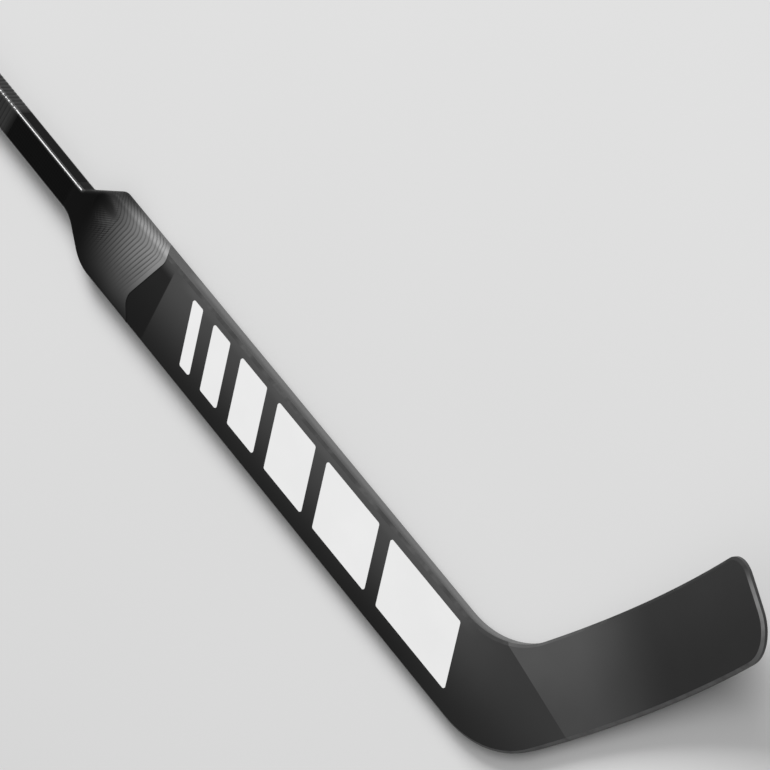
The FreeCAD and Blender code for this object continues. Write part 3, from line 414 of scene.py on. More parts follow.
# %% Paddle paint: painted light across the face, and the band
LIGHT_ACROSS = (-0.045, 0.045)
BODY_LEVELS = (24, 70)
HEEL_LEVELS = (33, 54)
NEAR_HEEL = (0.56, 0.70)
BAND_LEVELS = (16, 31)
BAND_END = 0.1555
BAND_SKEW = 0.0767
BAND_SOFTNESS = 0.0006
BAND_FADES = (0.040, 0.027)
PADDLE_ROUGHNESS = 0.44
BAND_ROUGHNESS = 0.39

paddle_paint, tree, shader = new_material("paddle_paint")
_, along, across, height = place(tree)
# Painted light: darker on the heel side, lighter on the toe side, where the wide lamp stands.
toe_light = ramp(tree, across, *LIGHT_ACROSS)
near_heel = ramp(tree, along, *NEAR_HEEL)
colour = blend_colour(tree, near_heel, shade(tree, toe_light, BODY_LEVELS), shade(tree, toe_light, HEEL_LEVELS))
skewed = math_node(tree, "ADD", along, product(tree, across, BAND_SKEW))
band = product(tree, ramp(tree, skewed, BAND_END + BAND_SOFTNESS, BAND_END - BAND_SOFTNESS),
               ramp(tree, across, *BAND_FADES))
colour = blend_colour(tree, band, colour, shade(tree, toe_light, BAND_LEVELS))
roughness = ramp(tree, band, 0.0, 1.0, PADDLE_ROUGHNESS, BAND_ROUGHNESS)
print("band ends at", round(BAND_END / MM), "mm")

# %% Paddle paint: painted light on the toe side and the bevels
TOE_EDGE = (0.030, 0.040)
TOE_EDGE_STARTS = (0.155, 0.185)
TOE_EDGE_ENDS = (0.635, 0.585)
TOE_EDGE_LEVEL = 78
WALL_LEVELS = (66, 90)
WALL_HEIGHTS = (0.0135, 0.0065)
WALL_SLOPES = (0.5, 0.2)
WALL_ENDS = (0.675, 0.645)
HEEL_BEVEL_LIGHT_LEVELS = (40, 112)
HEEL_BEVEL_LIGHT_RUN = (0.57, 0.69)
TOE_BEVEL_LIGHT_LEVEL = 46
TOE_BEVEL_LIGHT_SIDE = (0.0, 0.02)
TOE_BEVEL_LIGHT_ENDS = (0.70, 0.66)

# Painted light: the toe edge of the face is painted paler.
toe_side = product(tree, ramp(tree, across, *TOE_EDGE), ramp(tree, along, *TOE_EDGE_STARTS))
front_edge = product(tree, toe_side, ramp(tree, along, *TOE_EDGE_ENDS))
colour = blend_colour(tree, front_edge, colour, grey(TOE_EDGE_LEVEL))
# Painted highlight: the toe-side wall is paler towards the back.
on_wall = product(tree, ramp(tree, levelness(tree), *WALL_SLOPES), toe_side, ramp(tree, along, *WALL_ENDS))
colour = blend_colour(tree, on_wall, colour, shade(tree, ramp(tree, height, *WALL_HEIGHTS), WALL_LEVELS))
# Painted light on the bevels: a highlight that brightens along the heel side towards the blade, and a darker
# grey along the toe side.
heel_bevel_light = shade(tree, ramp(tree, along, *HEEL_BEVEL_LIGHT_RUN), HEEL_BEVEL_LIGHT_LEVELS)
toe_bevel_light = product(tree, ramp(tree, across, *TOE_BEVEL_LIGHT_SIDE), ramp(tree, along, *TOE_BEVEL_LIGHT_ENDS))
finish_paint(tree, shader, colour, roughness, blend_colour(tree, toe_bevel_light, heel_bevel_light, grey(TOE_BEVEL_LIGHT_LEVEL)))
dress(paddle_paint, "paddle_front_skin", "paddle_back_skin", "paddle_toe_rail", "paddle_heel_rail")

# %% [markdown]
# ## Paint on the blade
# The blade is a separate moulding, bonded on at the slanting seam. Its paint is lighter just past the seam;
# the darkening from there towards the toe is painted shade, and the colour is also a little darker towards
# the bottom edge. The paddle's own fades can't be used, because the blade leans, so each point is first
# measured along the blade from the heel, and up from the bottom edge. The rim carries painted light: a
# highlight along the bottom and round the toe, less at the crotch, and hardly any on the rest of the top.

# %% Blade paint
BLADE_TURN = math.radians(60.8)
HEEL_X = 0.706
HEEL_Y = -0.0444
BLADE_LEVELS = (75, 47)
BLADE_SHADE_RUN = (0.10, 0.215)
BLADE_RISE = (0.0, 0.087)
BLADE_RISE_SHARES = (0.82, 1.2)
RIM_LIGHT_LEVELS = (120, 38)
RIM_RISE = (0.05, 0.075)
CROTCH_LIGHT_LEVEL = 70
CROTCH_RUN = (0.16, 0.09)
CROTCH_RISE = (0.03, 0.06)
TOE_RIM_LIGHT_LEVEL = 114
TOE_RUN = (0.345, 0.372)
BLADE_ROUGHNESS = 0.42

blade_paint, tree, shader = new_material("blade_paint")
_, along, across, _ = place(tree)
past_heel = math_node(tree, "SUBTRACT", along, HEEL_X)
beside_heel = math_node(tree, "SUBTRACT", across, HEEL_Y)
from_heel = weighted_sum(tree, past_heel, math.cos(BLADE_TURN), across, math.sin(BLADE_TURN))
from_bottom = weighted_sum(tree, beside_heel, math.cos(BLADE_TURN), past_heel, -math.sin(BLADE_TURN))
# Painted shade: the blade darkens from just past the seam towards the toe.
colour = shade(tree, ramp(tree, from_heel, *BLADE_SHADE_RUN), BLADE_LEVELS)
# A little darker towards the bottom edge.
colour = multiplied(tree, colour, ramp(tree, from_bottom, *BLADE_RISE, *BLADE_RISE_SHARES))
# Painted light on the rim: a highlight along the bottom, less at the crotch, brighter again round the toe.
bevel_light_colour = shade(tree, ramp(tree, from_bottom, *RIM_RISE), RIM_LIGHT_LEVELS)
crotch = product(tree, ramp(tree, from_heel, *CROTCH_RUN), ramp(tree, from_bottom, *CROTCH_RISE))
bevel_light_colour = blend_colour(tree, crotch, bevel_light_colour, grey(CROTCH_LIGHT_LEVEL))
bevel_light_colour = blend_colour(tree, ramp(tree, from_heel, *TOE_RUN), bevel_light_colour, grey(TOE_RIM_LIGHT_LEVEL))
finish_paint(tree, shader, colour, BLADE_ROUGHNESS, bevel_light_colour)
dress(blade_paint, "blade_front_skin", "blade_back_skin", "blade_edge_band")

# %% [markdown]
# ## Shaft, plug and the hidden pieces
# The shaft is black laminate under a clear coat, so the weave hardly shows. A coat could be a second, clear
# shader on top, but the shader's own coat does it, and a mask keeps it to the rounded corners, where it
# mirrors a lamp. The plug is matt rubber. The cores are pale foam with closed cells and the inner webs are
# bare woven laminate. Both only show when the part is opened, and plain patterns of cells and tows are
# enough for them.

# %% Shaft coat
CORNER_POLISH = {"Lowest_slope": 0.1, "Highest_slope": 0.98, "Breaks_per_metre": 0.5}
CORNER_COAT = {"Coat_Roughness": 0.27, "Coat_IOR": 1.8}
SHAFT_LEVELS = (13, 17)
SHAFT_ROUGHNESS = (0.25, 0.35)
SHAFT_GLOSS = 0.02
SHAFT_BUMP = {"strength": 0.05, "depth": 0.05 * MM}

shaft_coat, tree, shader = new_material("shaft_coat")
over = use_group(tree, fibre_weave)["Over"]
dust = use_group(tree, settled_dust)["Dust"]
polish = use_group(tree, edge_rub_and_light, **CORNER_POLISH)["Rub"]
fill(tree, shader, Base_Color=shade(tree, over, SHAFT_LEVELS), Specular_IOR_Level=SHAFT_GLOSS,
     Roughness=ramp(tree, dust, 0.0, 1.0, *SHAFT_ROUGHNESS), Normal=bumped(tree, over, **SHAFT_BUMP),
     Coat_Weight=polish, **CORNER_COAT)
dress(shaft_coat, "shaft_tube")

# %% Plug rubber
GRAIN_SPAN = (0.2, 0.8)
PLUG_GRAINS = 1500.0
PLUG_LEVELS = (26, 36)
PLUG_ROUGHNESS = (0.6, 0.75)
PLUG_GLOSS = 0.3
PLUG_BUMP = {"strength": 0.3, "depth": 0.1 * MM}

plug_rubber, tree, shader = new_material("plug_rubber")
grain = use_group(tree, paint_grain, Grains_per_metre=PLUG_GRAINS)
fill(tree, shader, Base_Color=shade(tree, grain["Cloud"], PLUG_LEVELS), Specular_IOR_Level=PLUG_GLOSS,
     Roughness=ramp(tree, grain["Grain"], *GRAIN_SPAN, *PLUG_ROUGHNESS),
     Normal=bumped(tree, grain["Grain"], **PLUG_BUMP))
dress(plug_rubber, "butt_plug")

# %% Closed foam
CELLS_PER_METRE = 900.0
CELL_WALL = grey(226, 0.05)
CELL_MIDDLE = grey(200, 0.08)
FOAM_ROUGHNESS = 0.85
FOAM_BUMP = {"strength": 0.4, "depth": 0.3 * MM}

closed_foam, tree, shader = new_material("closed_foam")
point, _, _, _ = place(tree)
cells = add_node(tree, "ShaderNodeTexVoronoi", Vector=point, Scale=CELLS_PER_METRE).outputs["Distance"]
fill(tree, shader, Base_Color=blend_colour(tree, cells, CELL_WALL, CELL_MIDDLE), Roughness=FOAM_ROUGHNESS,
     Normal=bumped(tree, cells, **FOAM_BUMP))
dress(closed_foam, "shaft_foam", "paddle_toe_core", "paddle_heel_core",
      "blade_upper_core", "blade_lower_core")

# %% Bare laminate
LAMINATE_TOWS = 250.0
LAMINATE_LEVELS = (40, 78)
LAMINATE_ROUGHNESS = (0.62, 0.5)
LAMINATE_BUMP = {"strength": 0.3, "depth": 0.2 * MM}

bare_laminate, tree, shader = new_material("bare_laminate")
over = use_group(tree, fibre_weave, Tows_per_metre=LAMINATE_TOWS)["Over"]
fill(tree, shader, Base_Color=shade(tree, over, LAMINATE_LEVELS),
     Roughness=ramp(tree, over, 0.0, 1.0, *LAMINATE_ROUGHNESS), Normal=bumped(tree, over, **LAMINATE_BUMP))
dress(bare_laminate, "paddle_spine", "heel_block", "blade_rib")

# %% [markdown]
# ## Grip rubber
# Both grips are a soft-touch rubber moulding. On the shoulders light and shade are painted into its colour:
# it is dark near the shaft, which stays smooth, and on the heel side, lighter lower down and towards the toe
# side, where the wide lamp stands, and darker down the walls and along the toe-side edge near the shaft. Two
# materials could share this out, but one with fades has no hard border. It reads an attribute that the ribs
# leave on the mesh, so the floor of each groove gets painted shade and is darker than the ribs beside it.
# The finger scoop is darkened by painted shade, and the pebble beside it is drawn in the colour, because it
# is too fine for the mesh. Next to the shaft the corners have the shaft's coat, so its bright line runs on.

# %% Grip rubber: painted light, and painted shade in the grooves
GRIP_LEVELS = (9, 150)
LOWER_RUN = (0.030, 0.116)
TOEWARD_SIDES = (-0.055, 0.075)
GRIP_WALL_HEIGHTS = (0.004, 0.0165)
GRIP_WALL_SHARES = (0.45, 1.0)
OUTER_EDGE = (0.036, 0.042)
OUTER_EDGE_RUN = (0.050, 0.090)
OUTER_EDGE_SHARES = (0.5, 0.85)
SLEEVE_LEVEL = 46
SLEEVE_BEGINS = (-0.098, -0.112)
GROOVE_LEVEL = 10
GROOVE_SHADE = 0.43

grip_rubber, tree, shader = new_material("grip_rubber")
point, along, across, height = place(tree)
# Painted light: darker near the shaft, on the heel side, low on the walls and along the toe-side edge.
edge_share = ramp(tree, along, *OUTER_EDGE_RUN, *OUTER_EDGE_SHARES)
light = product(tree, ramp(tree, along, *LOWER_RUN), ramp(tree, across, *TOEWARD_SIDES),
                ramp(tree, height, *GRIP_WALL_HEIGHTS, *GRIP_WALL_SHARES),
                ramp(tree, across, *OUTER_EDGE, 1.0, edge_share))
colour = shade(tree, light, GRIP_LEVELS)
colour = blend_colour(tree, ramp(tree, along, *SLEEVE_BEGINS), colour, grey(SLEEVE_LEVEL))
# Painted shade: the floor of each groove is darkened.
groove = add_node(tree, "ShaderNodeAttribute", {"attribute_name": "groove"}).outputs["Fac"]
colour = blend_colour(tree, product(tree, groove, GROOVE_SHADE), colour, grey(GROOVE_LEVEL))
print("grip rubber reads the groove attribute")

# %% Grip rubber: scoop and pebble
SCOOP_SQUEEZE = 0.42
SCOOP_SHADE_X = 0.048
SCOOP_SHADE_Y = 0.0262
SCOOP_SHADE_REACH = (0.009, 0.003)
SCOOP_SHADE = 0.55
SCOOP_LEVEL = 11
PEBBLE_PITCH = 2.4 * MM
PEBBLE_EDGE = 0.4
PEBBLE_SHARES = (0.18, 1.85)
PEBBLE_STARTS = (0.034, 0.042)
PEBBLE_ENDS = (0.070, 0.056)
PEBBLE_HEEL_SIDE = (-0.016, 0.0)
PEBBLE_TOE_SIDE = (0.040, 0.026)
PEBBLE_CLEARS_SCOOP = (0.004, 0.009)

# Painted shade in the finger scoop.
squeezed = add_node(tree, "ShaderNodeVectorMath", {"operation": "MULTIPLY"}, i0=point,
                    i1=(SCOOP_SQUEEZE, 1.0, 0.0)).outputs[0]
scoop_middle = (SCOOP_SQUEEZE * SCOOP_SHADE_X, SCOOP_SHADE_Y, 0.0)
off_scoop = add_node(tree, "ShaderNodeVectorMath", {"operation": "DISTANCE"}, i0=squeezed,
                     i1=scoop_middle).outputs["Value"]
in_scoop = product(tree, ramp(tree, off_scoop, *SCOOP_SHADE_REACH), SCOOP_SHADE)
colour = blend_colour(tree, in_scoop, colour, grey(SCOOP_LEVEL))
waves = [math_node(tree, "SINE", product(tree, way, 2 * math.pi / PEBBLE_PITCH)) for way in (along, across)]
pebble = ramp(tree, product(tree, *waves), -PEBBLE_EDGE, PEBBLE_EDGE, *PEBBLE_SHARES)
beside_scoop = product(tree, ramp(tree, along, *PEBBLE_STARTS), ramp(tree, along, *PEBBLE_ENDS),
                       ramp(tree, across, *PEBBLE_HEEL_SIDE), ramp(tree, across, *PEBBLE_TOE_SIDE),
                       ramp(tree, off_scoop, *PEBBLE_CLEARS_SCOOP))
colour = multiplied(tree, colour, pebble, beside_scoop)
print("pebble pitch:", round(PEBBLE_PITCH / MM, 1), "mm")

# %% Grip rubber: gloss and grain
GRIP_GRAIN = {"Grains_per_metre": 1400.0, "Cloud_per_metre": 25.0}
GRIP_CLOUD = (0.9, 1.1)
GRIP_ROUGHNESS = (0.45, 0.58)
GRIP_GLOSS = 0.1
GRIP_BUMP = {"strength": 0.2, "depth": 0.08 * MM}
COAT_STOPS = (0.016, 0.010)

grain = use_group(tree, paint_grain, **GRIP_GRAIN)
polish = use_group(tree, edge_rub_and_light, **CORNER_POLISH)["Rub"]
fill(tree, shader, Base_Color=multiplied(tree, colour, ramp(tree, grain["Cloud"], *CLOUD_SPAN, *GRIP_CLOUD)),
     Roughness=ramp(tree, grain["Grain"], *GRAIN_SPAN, *GRIP_ROUGHNESS), Specular_IOR_Level=GRIP_GLOSS,
     Normal=bumped(tree, grain["Grain"], **GRIP_BUMP),
     Coat_Weight=product(tree, polish, ramp(tree, along, *COAT_STOPS)), **CORNER_COAT)
print("finishes:", [m.name for m in bpy.data.materials])

# %% [markdown]
# ## The ribs, as a Geometry Nodes tree
# Ribs repeat at one pitch and follow a surface. Each could be cut as a groove of its own, but a tree makes
# them all, for both grips, and their sizes are inputs. It reads two attributes of the grip's mesh: how far
# a point lies along the row of ribs, and how strongly ribs show there. From these it works out where a
# groove runs, sinks those points along the surface normal, and keeps the groove as an attribute for the
# rubber.

# %% Rib tree
GROOVE_FLOOR = 0.25


def read_attribute(tree, name):
    """A number that the mesh keeps for each point."""
    return add_node(tree, "GeometryNodeInputNamedAttribute", {"data_type": "FLOAT"}, Name=name).outputs[0]


def rib_tree():
    """The tree of ribs, with its sizes as named inputs."""
    tree = bpy.data.node_groups.new("moulded_ribs", "GeometryNodeTree")
    tree.interface.new_socket("Grip", in_out="INPUT", socket_type="NodeSocketGeometry")
    for label in ("Pitch", "Depth", "Groove share"):
        tree.interface.new_socket(label, in_out="INPUT", socket_type="NodeSocketFloat")
    tree.interface.new_socket("Rubber", in_out="INPUT", socket_type="NodeSocketMaterial")
    tree.interface.new_socket("Ribbed grip", in_out="OUTPUT", socket_type="NodeSocketGeometry")
    given = tree.nodes.new("NodeGroupInput").outputs
    result = tree.nodes.new("NodeGroupOutput")
    pitches = math_node(tree, "DIVIDE", read_attribute(tree, "rib_line"), given["Pitch"])
    turns = math_node(tree, "FRACT", pitches)
    off_middle = math_node(tree, "ABSOLUTE", math_node(tree, "SUBTRACT", turns, 0.5))
    half_groove = math_node(tree, "DIVIDE", given["Groove share"], 2.0)
    groove = product(tree, ramp(tree, off_middle, half_groove, product(tree, half_groove, GROOVE_FLOOR)),
                     read_attribute(tree, "rib_strength"))
    kept = add_node(tree, "GeometryNodeStoreNamedAttribute", {"data_type": "FLOAT", "domain": "POINT"},
                    Geometry=given["Grip"], Name="groove", Value=groove)
    normal = add_node(tree, "GeometryNodeInputNormal").outputs[0]
    sink = add_node(tree, "ShaderNodeVectorMath", {"operation": "SCALE"}, Vector=normal,
                    Scale=product(tree, groove, given["Depth"], -1.0))
    sunk = add_node(tree, "GeometryNodeSetPosition", Geometry=kept.outputs[0], Offset=sink.outputs[0])
    real = add_node(tree, "GeometryNodeRealizeInstances", Geometry=sunk.outputs[0])
    dressed = add_node(tree, "GeometryNodeSetMaterial", Geometry=real.outputs[0], Material=given["Rubber"])
    tree.links.new(dressed.outputs[0], result.inputs[0])
    return tree


moulded_ribs = rib_tree()
print("rib tree:", len(moulded_ribs.nodes), "nodes")


# %% Ribs on a piece
def rib(piece, pitch, depth, groove_share):
    """Runs the rib tree on a grip and keeps the result as the piece's plain mesh."""
    modifier = piece.modifiers.new("ribs", "NODES")
    values = {"Pitch": pitch, "Depth": depth, "Groove share": groove_share, "Rubber": grip_rubber}
    modifier.node_group = moulded_ribs
    for item in moulded_ribs.interface.items_tree:
        if item.in_out == "INPUT" and item.name in values:
            modifier[item.identifier] = values[item.name]
    graph = bpy.context.evaluated_depsgraph_get()
    made = bpy.data.meshes.new_from_object(piece.evaluated_get(graph), preserve_all_data_layers=True,
                                           depsgraph=graph)
    piece.modifiers.remove(modifier)
    piece.data = made


print("rib inputs:", [item.name for item in moulded_ribs.interface.items_tree if item.in_out == "INPUT"])

# %% [markdown]
# ## A grip is a shell round a rounded section
# Both grips wrap a rounded rectangle. A bevelled box could do it, but ribs need even faces that follow the
# surface. So a ring of columns goes once round the section: front, toe-side corner, wall, back, and the
# heel side likewise. Rows go along the stick, and every point is worked out from its row and column. A
# second skin inside closes the shell, which gives it the thickness of a real moulding. Its two ends are
# shaded flat.

# %% Ring of columns
FACE_DEPTH = 19.7 * MM
FACE_FALL = 5.2 / 706.0
CORNER = 4.0 * MM
QUARTER_TURN = math.pi / 2
DECIMALS = 12
RING_CORNERS = np.array([(0.0, 1.0, 1.0), (1.0, 0.0, 1.0), (1.0, 0.0, 0.0), (0.0, 1.0, 0.0)])


def face_depth(x):
    """Depth of the stick at x: level on the shaft, then thinner towards the heel."""
    return FACE_DEPTH - FACE_FALL * np.maximum(x, 0.0)


def ring(front_count, corner_count, wall_count, back_count):
    """Columns round the section: shares of the toe and heel half widths and of the depth, and the normal."""
    columns = []
    for side, count in enumerate((front_count, wall_count, back_count, wall_count)):
        start = RING_CORNERS[side]
        end = RING_CORNERS[(side + 1) % len(RING_CORNERS)]
        stops = [(start + (end - start) * i / count, side) for i in range(count)]
        stops += [(end, side + i / corner_count) for i in range(corner_count)]
        for shares, quarters in stops:
            turned = QUARTER_TURN * quarters
            columns.append((*shares, round(math.sin(turned), DECIMALS), round(math.cos(turned), DECIMALS)))
    return np.array(columns).T


def section_points(columns, x, half_toe, half_heel, lift):
    """Points of the section at x, moved out along the section's normal by lift."""
    toe_share, heel_share, depth_share, out_y, out_z = columns
    y = toe_share * (half_toe - CORNER) - heel_share * (half_heel - CORNER) + (CORNER + lift) * out_y
    z = CORNER + depth_share * (face_depth(x) - 2 * CORNER) + (CORNER + lift) * out_z
    return np.stack([x, y, z], axis=-1)


print("depth of the stick:", round(face_depth(0.0) / MM, 1), "mm, with", CORNER / MM, "mm corners")

# %% Shell of two skins
HOLD = 0.05 * MM


def shell_piece(name, outer, inner, fields):
    """A closed shell of an outer and an inner skin of rows and columns, with its attributes."""
    rows = np.concatenate([outer, inner[::-1]])
    count, width, _ = rows.shape
    index = np.arange(count * width).reshape(count, width)
    below = np.roll(index, -1, axis=0)
    faces = np.stack([index, np.roll(index, -1, axis=1), np.roll(below, -1, axis=1), below], axis=-1)
    mesh = bpy.data.meshes.new(name)
    mesh.from_pydata(rows.reshape(-1, 3).tolist(), [], faces.reshape(-1, 4).tolist())
    work = bmesh.new()
    work.from_mesh(mesh)
    bmesh.ops.recalc_face_normals(work, faces=work.faces)
    work.to_mesh(mesh)
    work.free()
    for label, values in fields.items():
        whole = np.zeros((count, width))
        whole[:len(outer)] = values
        layer = mesh.attributes.new(label, "FLOAT", "POINT")
        layer.data.foreach_set("value", whole.ravel().astype(np.float32))
    smooth = np.ones((count, width), dtype=bool)
    smooth[len(outer) - 1] = False
    smooth[-1] = False
    mesh.polygons.foreach_set("use_smooth", smooth.ravel())
    piece = bpy.data.objects.new(name, mesh)
    bpy.context.scene.collection.objects.link(piece)
    return piece


def held(first, last, count, reach):
    """Even steps from first to last, with one more close to each end, which keeps the end's edge crisp."""
    return np.concatenate([[first], np.linspace(first + reach, last - reach, count - 2), [last]])


def step(value, start, end):
    """Smooth step from 0 at start to 1 at end."""
    share = np.clip((value - start) / (end - start), 0.0, 1.0)
    return share * share * (3 - 2 * share)


print("rows are held", HOLD / MM, "mm from each end")

# %% [markdown]
# ## Shoulder grip
# The moulding runs from the shaft over both shoulders and ends in an S-shaped line across the paddle, which
# leans back towards the shaft on the walls. Its ribs follow that line, lie flatter near the shaft, and turn
# down over the toe-side edge. A scoop for the finger is pressed into the toe-side shoulder. All this could
# be sculpted, but the rows and columns above give even faces for the ribs, and each size stays a number
# that can be changed.

# %% Shoulder grip: outline
SHAFT_HALF = 15.5 * MM
PADDLE_HALF = 43.0 * MM
LAND = 12.0 * MM
TOE_SHOULDER = 34.2 * MM
TOE_ROUNDS = [7 * MM, 13 * MM]
HEEL_SHOULDER = 39.0 * MM
HEEL_ROUNDS = [33 * MM, 46 * MM]
BEYOND = 200 * MM
ARC_POINTS = 12
EDGE_CORNERS = [(-47.3 * MM, 141 * MM), (-23.65 * MM, 119 * MM),
                (47.3 * MM, 142.1 * MM), (55.9 * MM, 103 * MM)]
EDGE_ROUNDS = [16 * MM, 14 * MM]


def rounded_line(corners, radii):
    """A line through corners, each inner one rounded by an arc of its radius."""
    corners = np.array(corners)
    line = [corners[0]]
    for before, corner, after, radius in zip(corners, corners[1:], corners[2:], radii):
        towards = (before - corner) / np.linalg.norm(before - corner)
        away = (after - corner) / np.linalg.norm(after - corner)
        half = math.acos(float(np.dot(towards, away))) / 2
        reach = radius / math.tan(half)
        middle = corner + (towards + away) / np.linalg.norm(towards + away) * radius / math.sin(half)
        start = corner + towards * reach - middle
        end = corner + away * reach - middle
        for share in np.linspace(0.0, 1.0, ARC_POINTS):
            arm = start * (1 - share) + end * share
            line.append(middle + arm / np.linalg.norm(arm) * radius)
    line.append(corners[-1])
    return np.array(line)


def shoulder_line(run, rounds):
    """Half width along the stick, from the shaft over a shoulder of that run to the paddle."""
    return rounded_line([(-BEYOND, SHAFT_HALF), (LAND, SHAFT_HALF), (LAND + run, PADDLE_HALF),
                         (BEYOND, PADDLE_HALF)], rounds)


toe_line = shoulder_line(TOE_SHOULDER, TOE_ROUNDS)
heel_line = shoulder_line(HEEL_SHOULDER, HEEL_ROUNDS)
edge_line = rounded_line(EDGE_CORNERS, EDGE_ROUNDS)
print("grip's lower edge from", np.round(edge_line[0] / MM, 1), "to", np.round(edge_line[-1] / MM, 1), "mm")

# %% Shoulder grip: skins
GRIP_RING = (94, 8, 14, 40)
GRIP_ROWS = 260
INNER_ROWS = 30
GRIP_LENGTH = 120 * MM
SHELL = 1.0 * MM
EDGE_LEAN = 18 * MM
LIFT = 0.25 * MM
LIFT_REACH = 6 * MM
LIP = 0.3 * MM
LIP_REACH = 4.0 * MM
SCOOP_X = 44.5 * MM
SCOOP_Y = 21.5 * MM
SCOOP_REACH = 14.2 * MM
SCOOP_DEPTH = 2.2 * MM

columns = ring(*GRIP_RING)
toe_share, heel_share, depth_share, out_y, out_z = columns
full_y = (toe_share - heel_share) * (PADDLE_HALF - CORNER) + CORNER * out_y
edge_x = np.interp(full_y, edge_line[:, 0], edge_line[:, 1])
full_z = CORNER + depth_share * (face_depth(edge_x) - 2 * CORNER) + CORNER * out_z
edge_x = edge_x - EDGE_LEAN * (1 - full_z / FACE_DEPTH)


def from_scoop(x, y):
    """How far points lie from the middle of the finger scoop."""
    return np.hypot(x - SCOOP_X, y - SCOOP_Y)


def grip_skin(shares, lift):
    """One skin of the grip: rows are shares of the way from the shaft to the lower edge."""
    x = np.outer(shares, edge_x)
    toe = np.interp(x, toe_line[:, 0], toe_line[:, 1])
    heel = np.interp(x, heel_line[:, 0], heel_line[:, 1])
    points = section_points(columns, x, toe, heel, lift)
    dish = np.clip(1 - (from_scoop(x, points[..., 1]) / SCOOP_REACH) ** 2, 0.0, 1.0)
    points[..., 2] -= dish * SCOOP_DEPTH * np.clip(out_z, 0.0, 1.0)
    return points


shares = held(0.0, 1.0, GRIP_ROWS, HOLD / GRIP_LENGTH)
to_edge = np.outer(1 - shares, edge_x)
lift = LIFT * step(np.outer(shares, edge_x), 0.0, LIFT_REACH) + LIP * np.exp(-(to_edge / LIP_REACH) ** 2)
outer = grip_skin(shares, lift * np.clip(1 + out_z, 0.0, 1.0))
inner = grip_skin(np.linspace(0.0, 1.0, INNER_ROWS), -SHELL)
print("shoulder grip skins:", outer.shape[:2], "and", inner.shape[:2], "points")

# %% Shoulder grip: ribs
RIB_PITCH = 4.05 * MM
RIB_DEPTH = 0.5 * MM
RIB_GROOVE = 0.42
RIB_FAN_FROM = 60 * MM
RIB_SLOPES = (0.18, 0.3256)
RIB_BEND = 1.3
RIB_BENDS_FROM = (22 * MM, 30 * MM)
RIB_BENDS_TO = 48 * MM
SIDEWAYS = 0.9
UPRIGHT = 0.99
LOW_WALL = 0.15
RIBS_ACROSS = (-34 * MM, 14 * MM)
RIBS_ALONG = (30 * MM, 62 * MM)
RIBS_CLEAR_SCOOP = (SCOOP_REACH, SCOOP_REACH + 8 * MM)
RIBS_CLEAR_EDGE = (3 * MM, 7 * MM)

x = outer[..., 0]
y = outer[..., 1]
outward = np.clip(out_y, 0.0, 1.0)
down_wall = np.where(out_y > UPRIGHT, (1 - depth_share) * (face_depth(x) - 2 * CORNER), 0.0)
around = y + CORNER * (np.arcsin(outward) - outward) + down_wall
notch_y, notch_x = EDGE_CORNERS[1]
fan = (RIB_FAN_FROM, notch_x)
bends_from = np.interp(x, fan, RIB_BENDS_FROM)
turning = np.clip(around, bends_from, RIB_BENDS_TO) - bends_from
past_bend = np.clip(around - RIB_BENDS_TO, 0.0, None)
bend = RIB_BEND * (turning ** 2 / (RIB_BENDS_TO - bends_from) / 2 + past_bend)
rib_line = notch_x + np.interp(x, fan, RIB_SLOPES) * (around - notch_y) - x - bend
on_front = (out_z > 0.0) | ((out_y > SIDEWAYS) & (depth_share > LOW_WALL))
strength = (on_front * step(y, *RIBS_ACROSS) * step(x, *RIBS_ALONG)
            * step(from_scoop(x, y), *RIBS_CLEAR_SCOOP) * step(to_edge, *RIBS_CLEAR_EDGE))
shoulder_piece = shell_piece("shoulder_grip_moulding", outer, inner,
                             {"rib_line": rib_line, "rib_strength": strength})
rib(shoulder_piece, RIB_PITCH, RIB_DEPTH, RIB_GROOVE)
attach(shoulder_piece, BODY)
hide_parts("shoulder_grip")
print("shoulder grip:", len(shoulder_piece.data.polygons), "faces")

# %% [markdown]
# ## Clear coat on the shaft
# The real shaft is sealed with a clear coat. The shaft's solid could carry it alone, but it has few faces
# round its corners, which a sharp reflection would show. So a thin film is laid over the tube above and
# below the sleeve, with finer, evenly shaded corners. The ring of columns makes it, and the solid stays
# under it.

# %% Clear coat
COAT_RING = (24, 12, 12, 24)
COAT_ROWS = 24
COAT_OUT = 0.06 * MM
COAT_IN = -0.04 * MM
COAT_RUNS = [(-790 * MM, -430.2 * MM), (-99.8 * MM, 0.0)]


def shaft_skin(columns, rows, lift):
    """One skin round the shaft, with rows at the given places along it."""
    x = np.repeat(rows[:, None], columns.shape[1], axis=1)
    half = np.full_like(x, SHAFT_HALF)
    return section_points(columns, x, half, half, lift)


columns = ring(*COAT_RING)
for number, (start, end) in enumerate(COAT_RUNS, start=1):
    rows = held(start, end, COAT_ROWS, HOLD)
    film = shell_piece("shaft_clear_coat_%d" % number, shaft_skin(columns, rows, COAT_OUT),
                       shaft_skin(columns, rows, COAT_IN), {})
    film.data.materials.append(shaft_coat)
    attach(film, BODY)
    print("clear coat:", film.name, len(film.data.polygons), "faces")

# %% [markdown]
# ## Shaft sleeve
# The grip on the shaft is a sleeve of the same rubber, let into the tube, with ribs straight across it. A
# row of separate rings could stand for the ribs, but the real sleeve is one moulding. The same shell and
# the same tree make it: only the section and the pitch differ.

# %% Shaft sleeve
SLEEVE_RING = (20, 5, 8, 20)
SLEEVE_ROWS = 560
SLEEVE_INNER_ROWS = 12
SLEEVE_START = -430 * MM
SLEEVE_END = -100 * MM
SLEEVE_SHELL = 0.9 * MM
SLEEVE_LIFT = 0.1 * MM
SLEEVE_RIBS_FROM = (6 * MM, 10 * MM)
SLEEVE_PITCH = 5.0 * MM
SLEEVE_RIB_DEPTH = 0.45 * MM
SLEEVE_GROOVE = 0.5

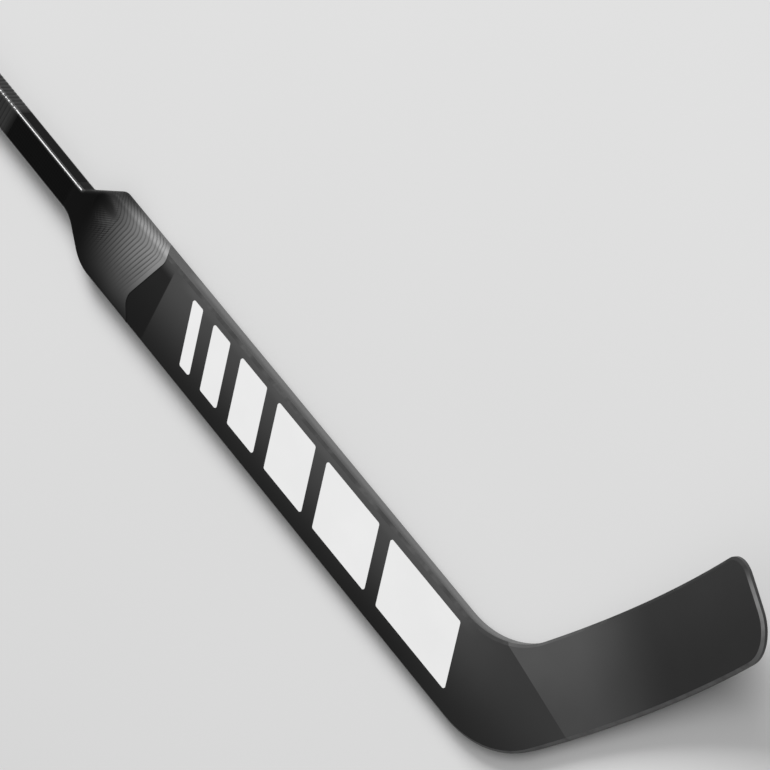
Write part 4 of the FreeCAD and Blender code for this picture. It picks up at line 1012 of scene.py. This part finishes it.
columns = ring(*SLEEVE_RING)
outer = shaft_skin(columns, held(SLEEVE_START, SLEEVE_END, SLEEVE_ROWS, HOLD), SLEEVE_LIFT)
inner = shaft_skin(columns, held(SLEEVE_START, SLEEVE_END, SLEEVE_INNER_ROWS, HOLD), -SLEEVE_SHELL)
x = outer[..., 0]
strength = step(np.minimum(x - SLEEVE_START, SLEEVE_END - x), *SLEEVE_RIBS_FROM)
sleeve_piece = shell_piece("shaft_sleeve_moulding", outer, inner, {"rib_line": x, "rib_strength": strength})
rib(sleeve_piece, SLEEVE_PITCH, SLEEVE_RIB_DEPTH, SLEEVE_GROOVE)
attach(sleeve_piece, BODY)
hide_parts("shaft_grip")
print("shaft sleeve:", len(sleeve_piece.data.polygons), "faces")

# %% [markdown]
# ## White bars
# The paddle carries a plain row of slanting white bars, wider and wider towards the blade. The paint's tree
# could draw them, but on the real stick such marks are a film with an edge of its own. So each bar is a
# thin plate with rounded corners, its top about a tenth of a millimetre above the paint.

# %% White film
FILM_GRAIN = {"Grains_per_metre": 700.0, "Cloud_per_metre": 18.0}
FILM_LEVELS = (231, 239)
FILM_ROUGHNESS = (0.5, 0.6)
FILM_GLOSS = 0.12
FILM_BUMP = {"strength": 0.05, "depth": 0.05 * MM}

white_film, tree, shader = new_material("white_film")
grain = use_group(tree, paint_grain, **FILM_GRAIN)
fill(tree, shader, Base_Color=shade(tree, grain["Cloud"], FILM_LEVELS), Specular_IOR_Level=FILM_GLOSS,
     Roughness=ramp(tree, grain["Cloud"], *CLOUD_SPAN, *FILM_ROUGHNESS),
     Normal=bumped(tree, grain["Grain"], **FILM_BUMP))
print("white film:", len(tree.nodes), "nodes")

# %% White bars
BAR_LOW = -25 * MM
BAR_HIGH = 35 * MM
BAR_START = 186 * MM
BAR_GAP = 18 * MM
BAR_LEAN = 0.42 * (BAR_HIGH - BAR_LOW)
BAR_WIDTHS = (16, 27, 42, 60, 82, 106)
BAR_CORNER = 2.5 * MM
FILM = 0.09 * MM


def rounded_bar(start, width):
    """Corner points of one slanting bar, each corner rounded, in order round it."""
    corners = [(start, BAR_LOW), (start + width, BAR_LOW),
               (start + width - BAR_LEAN, BAR_HIGH), (start - BAR_LEAN, BAR_HIGH)]
    outline = []
    for i, corner in enumerate(corners):
        line = rounded_line([corners[i - 1], corner, corners[(i + 1) % len(corners)]], [BAR_CORNER])
        outline.extend(line[1:-1])
    return outline


work = bmesh.new()
start = BAR_START + BAR_LEAN
for width in BAR_WIDTHS:
    outline = rounded_bar(start, width * MM)
    top = [work.verts.new((x, y, face_depth(x) + FILM)) for x, y in outline]
    bottom = [work.verts.new((x, y, face_depth(x) - FILM)) for x, y in outline]
    work.faces.new(top)
    work.faces.new(bottom[::-1])
    for i in range(len(top)):
        after = (i + 1) % len(top)
        work.faces.new((top[i], bottom[i], bottom[after], top[after]))
    start += width * MM + BAR_GAP
bmesh.ops.recalc_face_normals(work, faces=work.faces)
bar_mesh = bpy.data.meshes.new("white_bars")
work.to_mesh(bar_mesh)
work.free()
bar_mesh.materials.append(white_film)
white_bars = bpy.data.objects.new("white_bars", bar_mesh)
bpy.context.scene.collection.objects.link(white_bars)
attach(white_bars, BODY)
print("white bars:", len(BAR_WIDTHS), "with", len(bar_mesh.polygons), "faces")
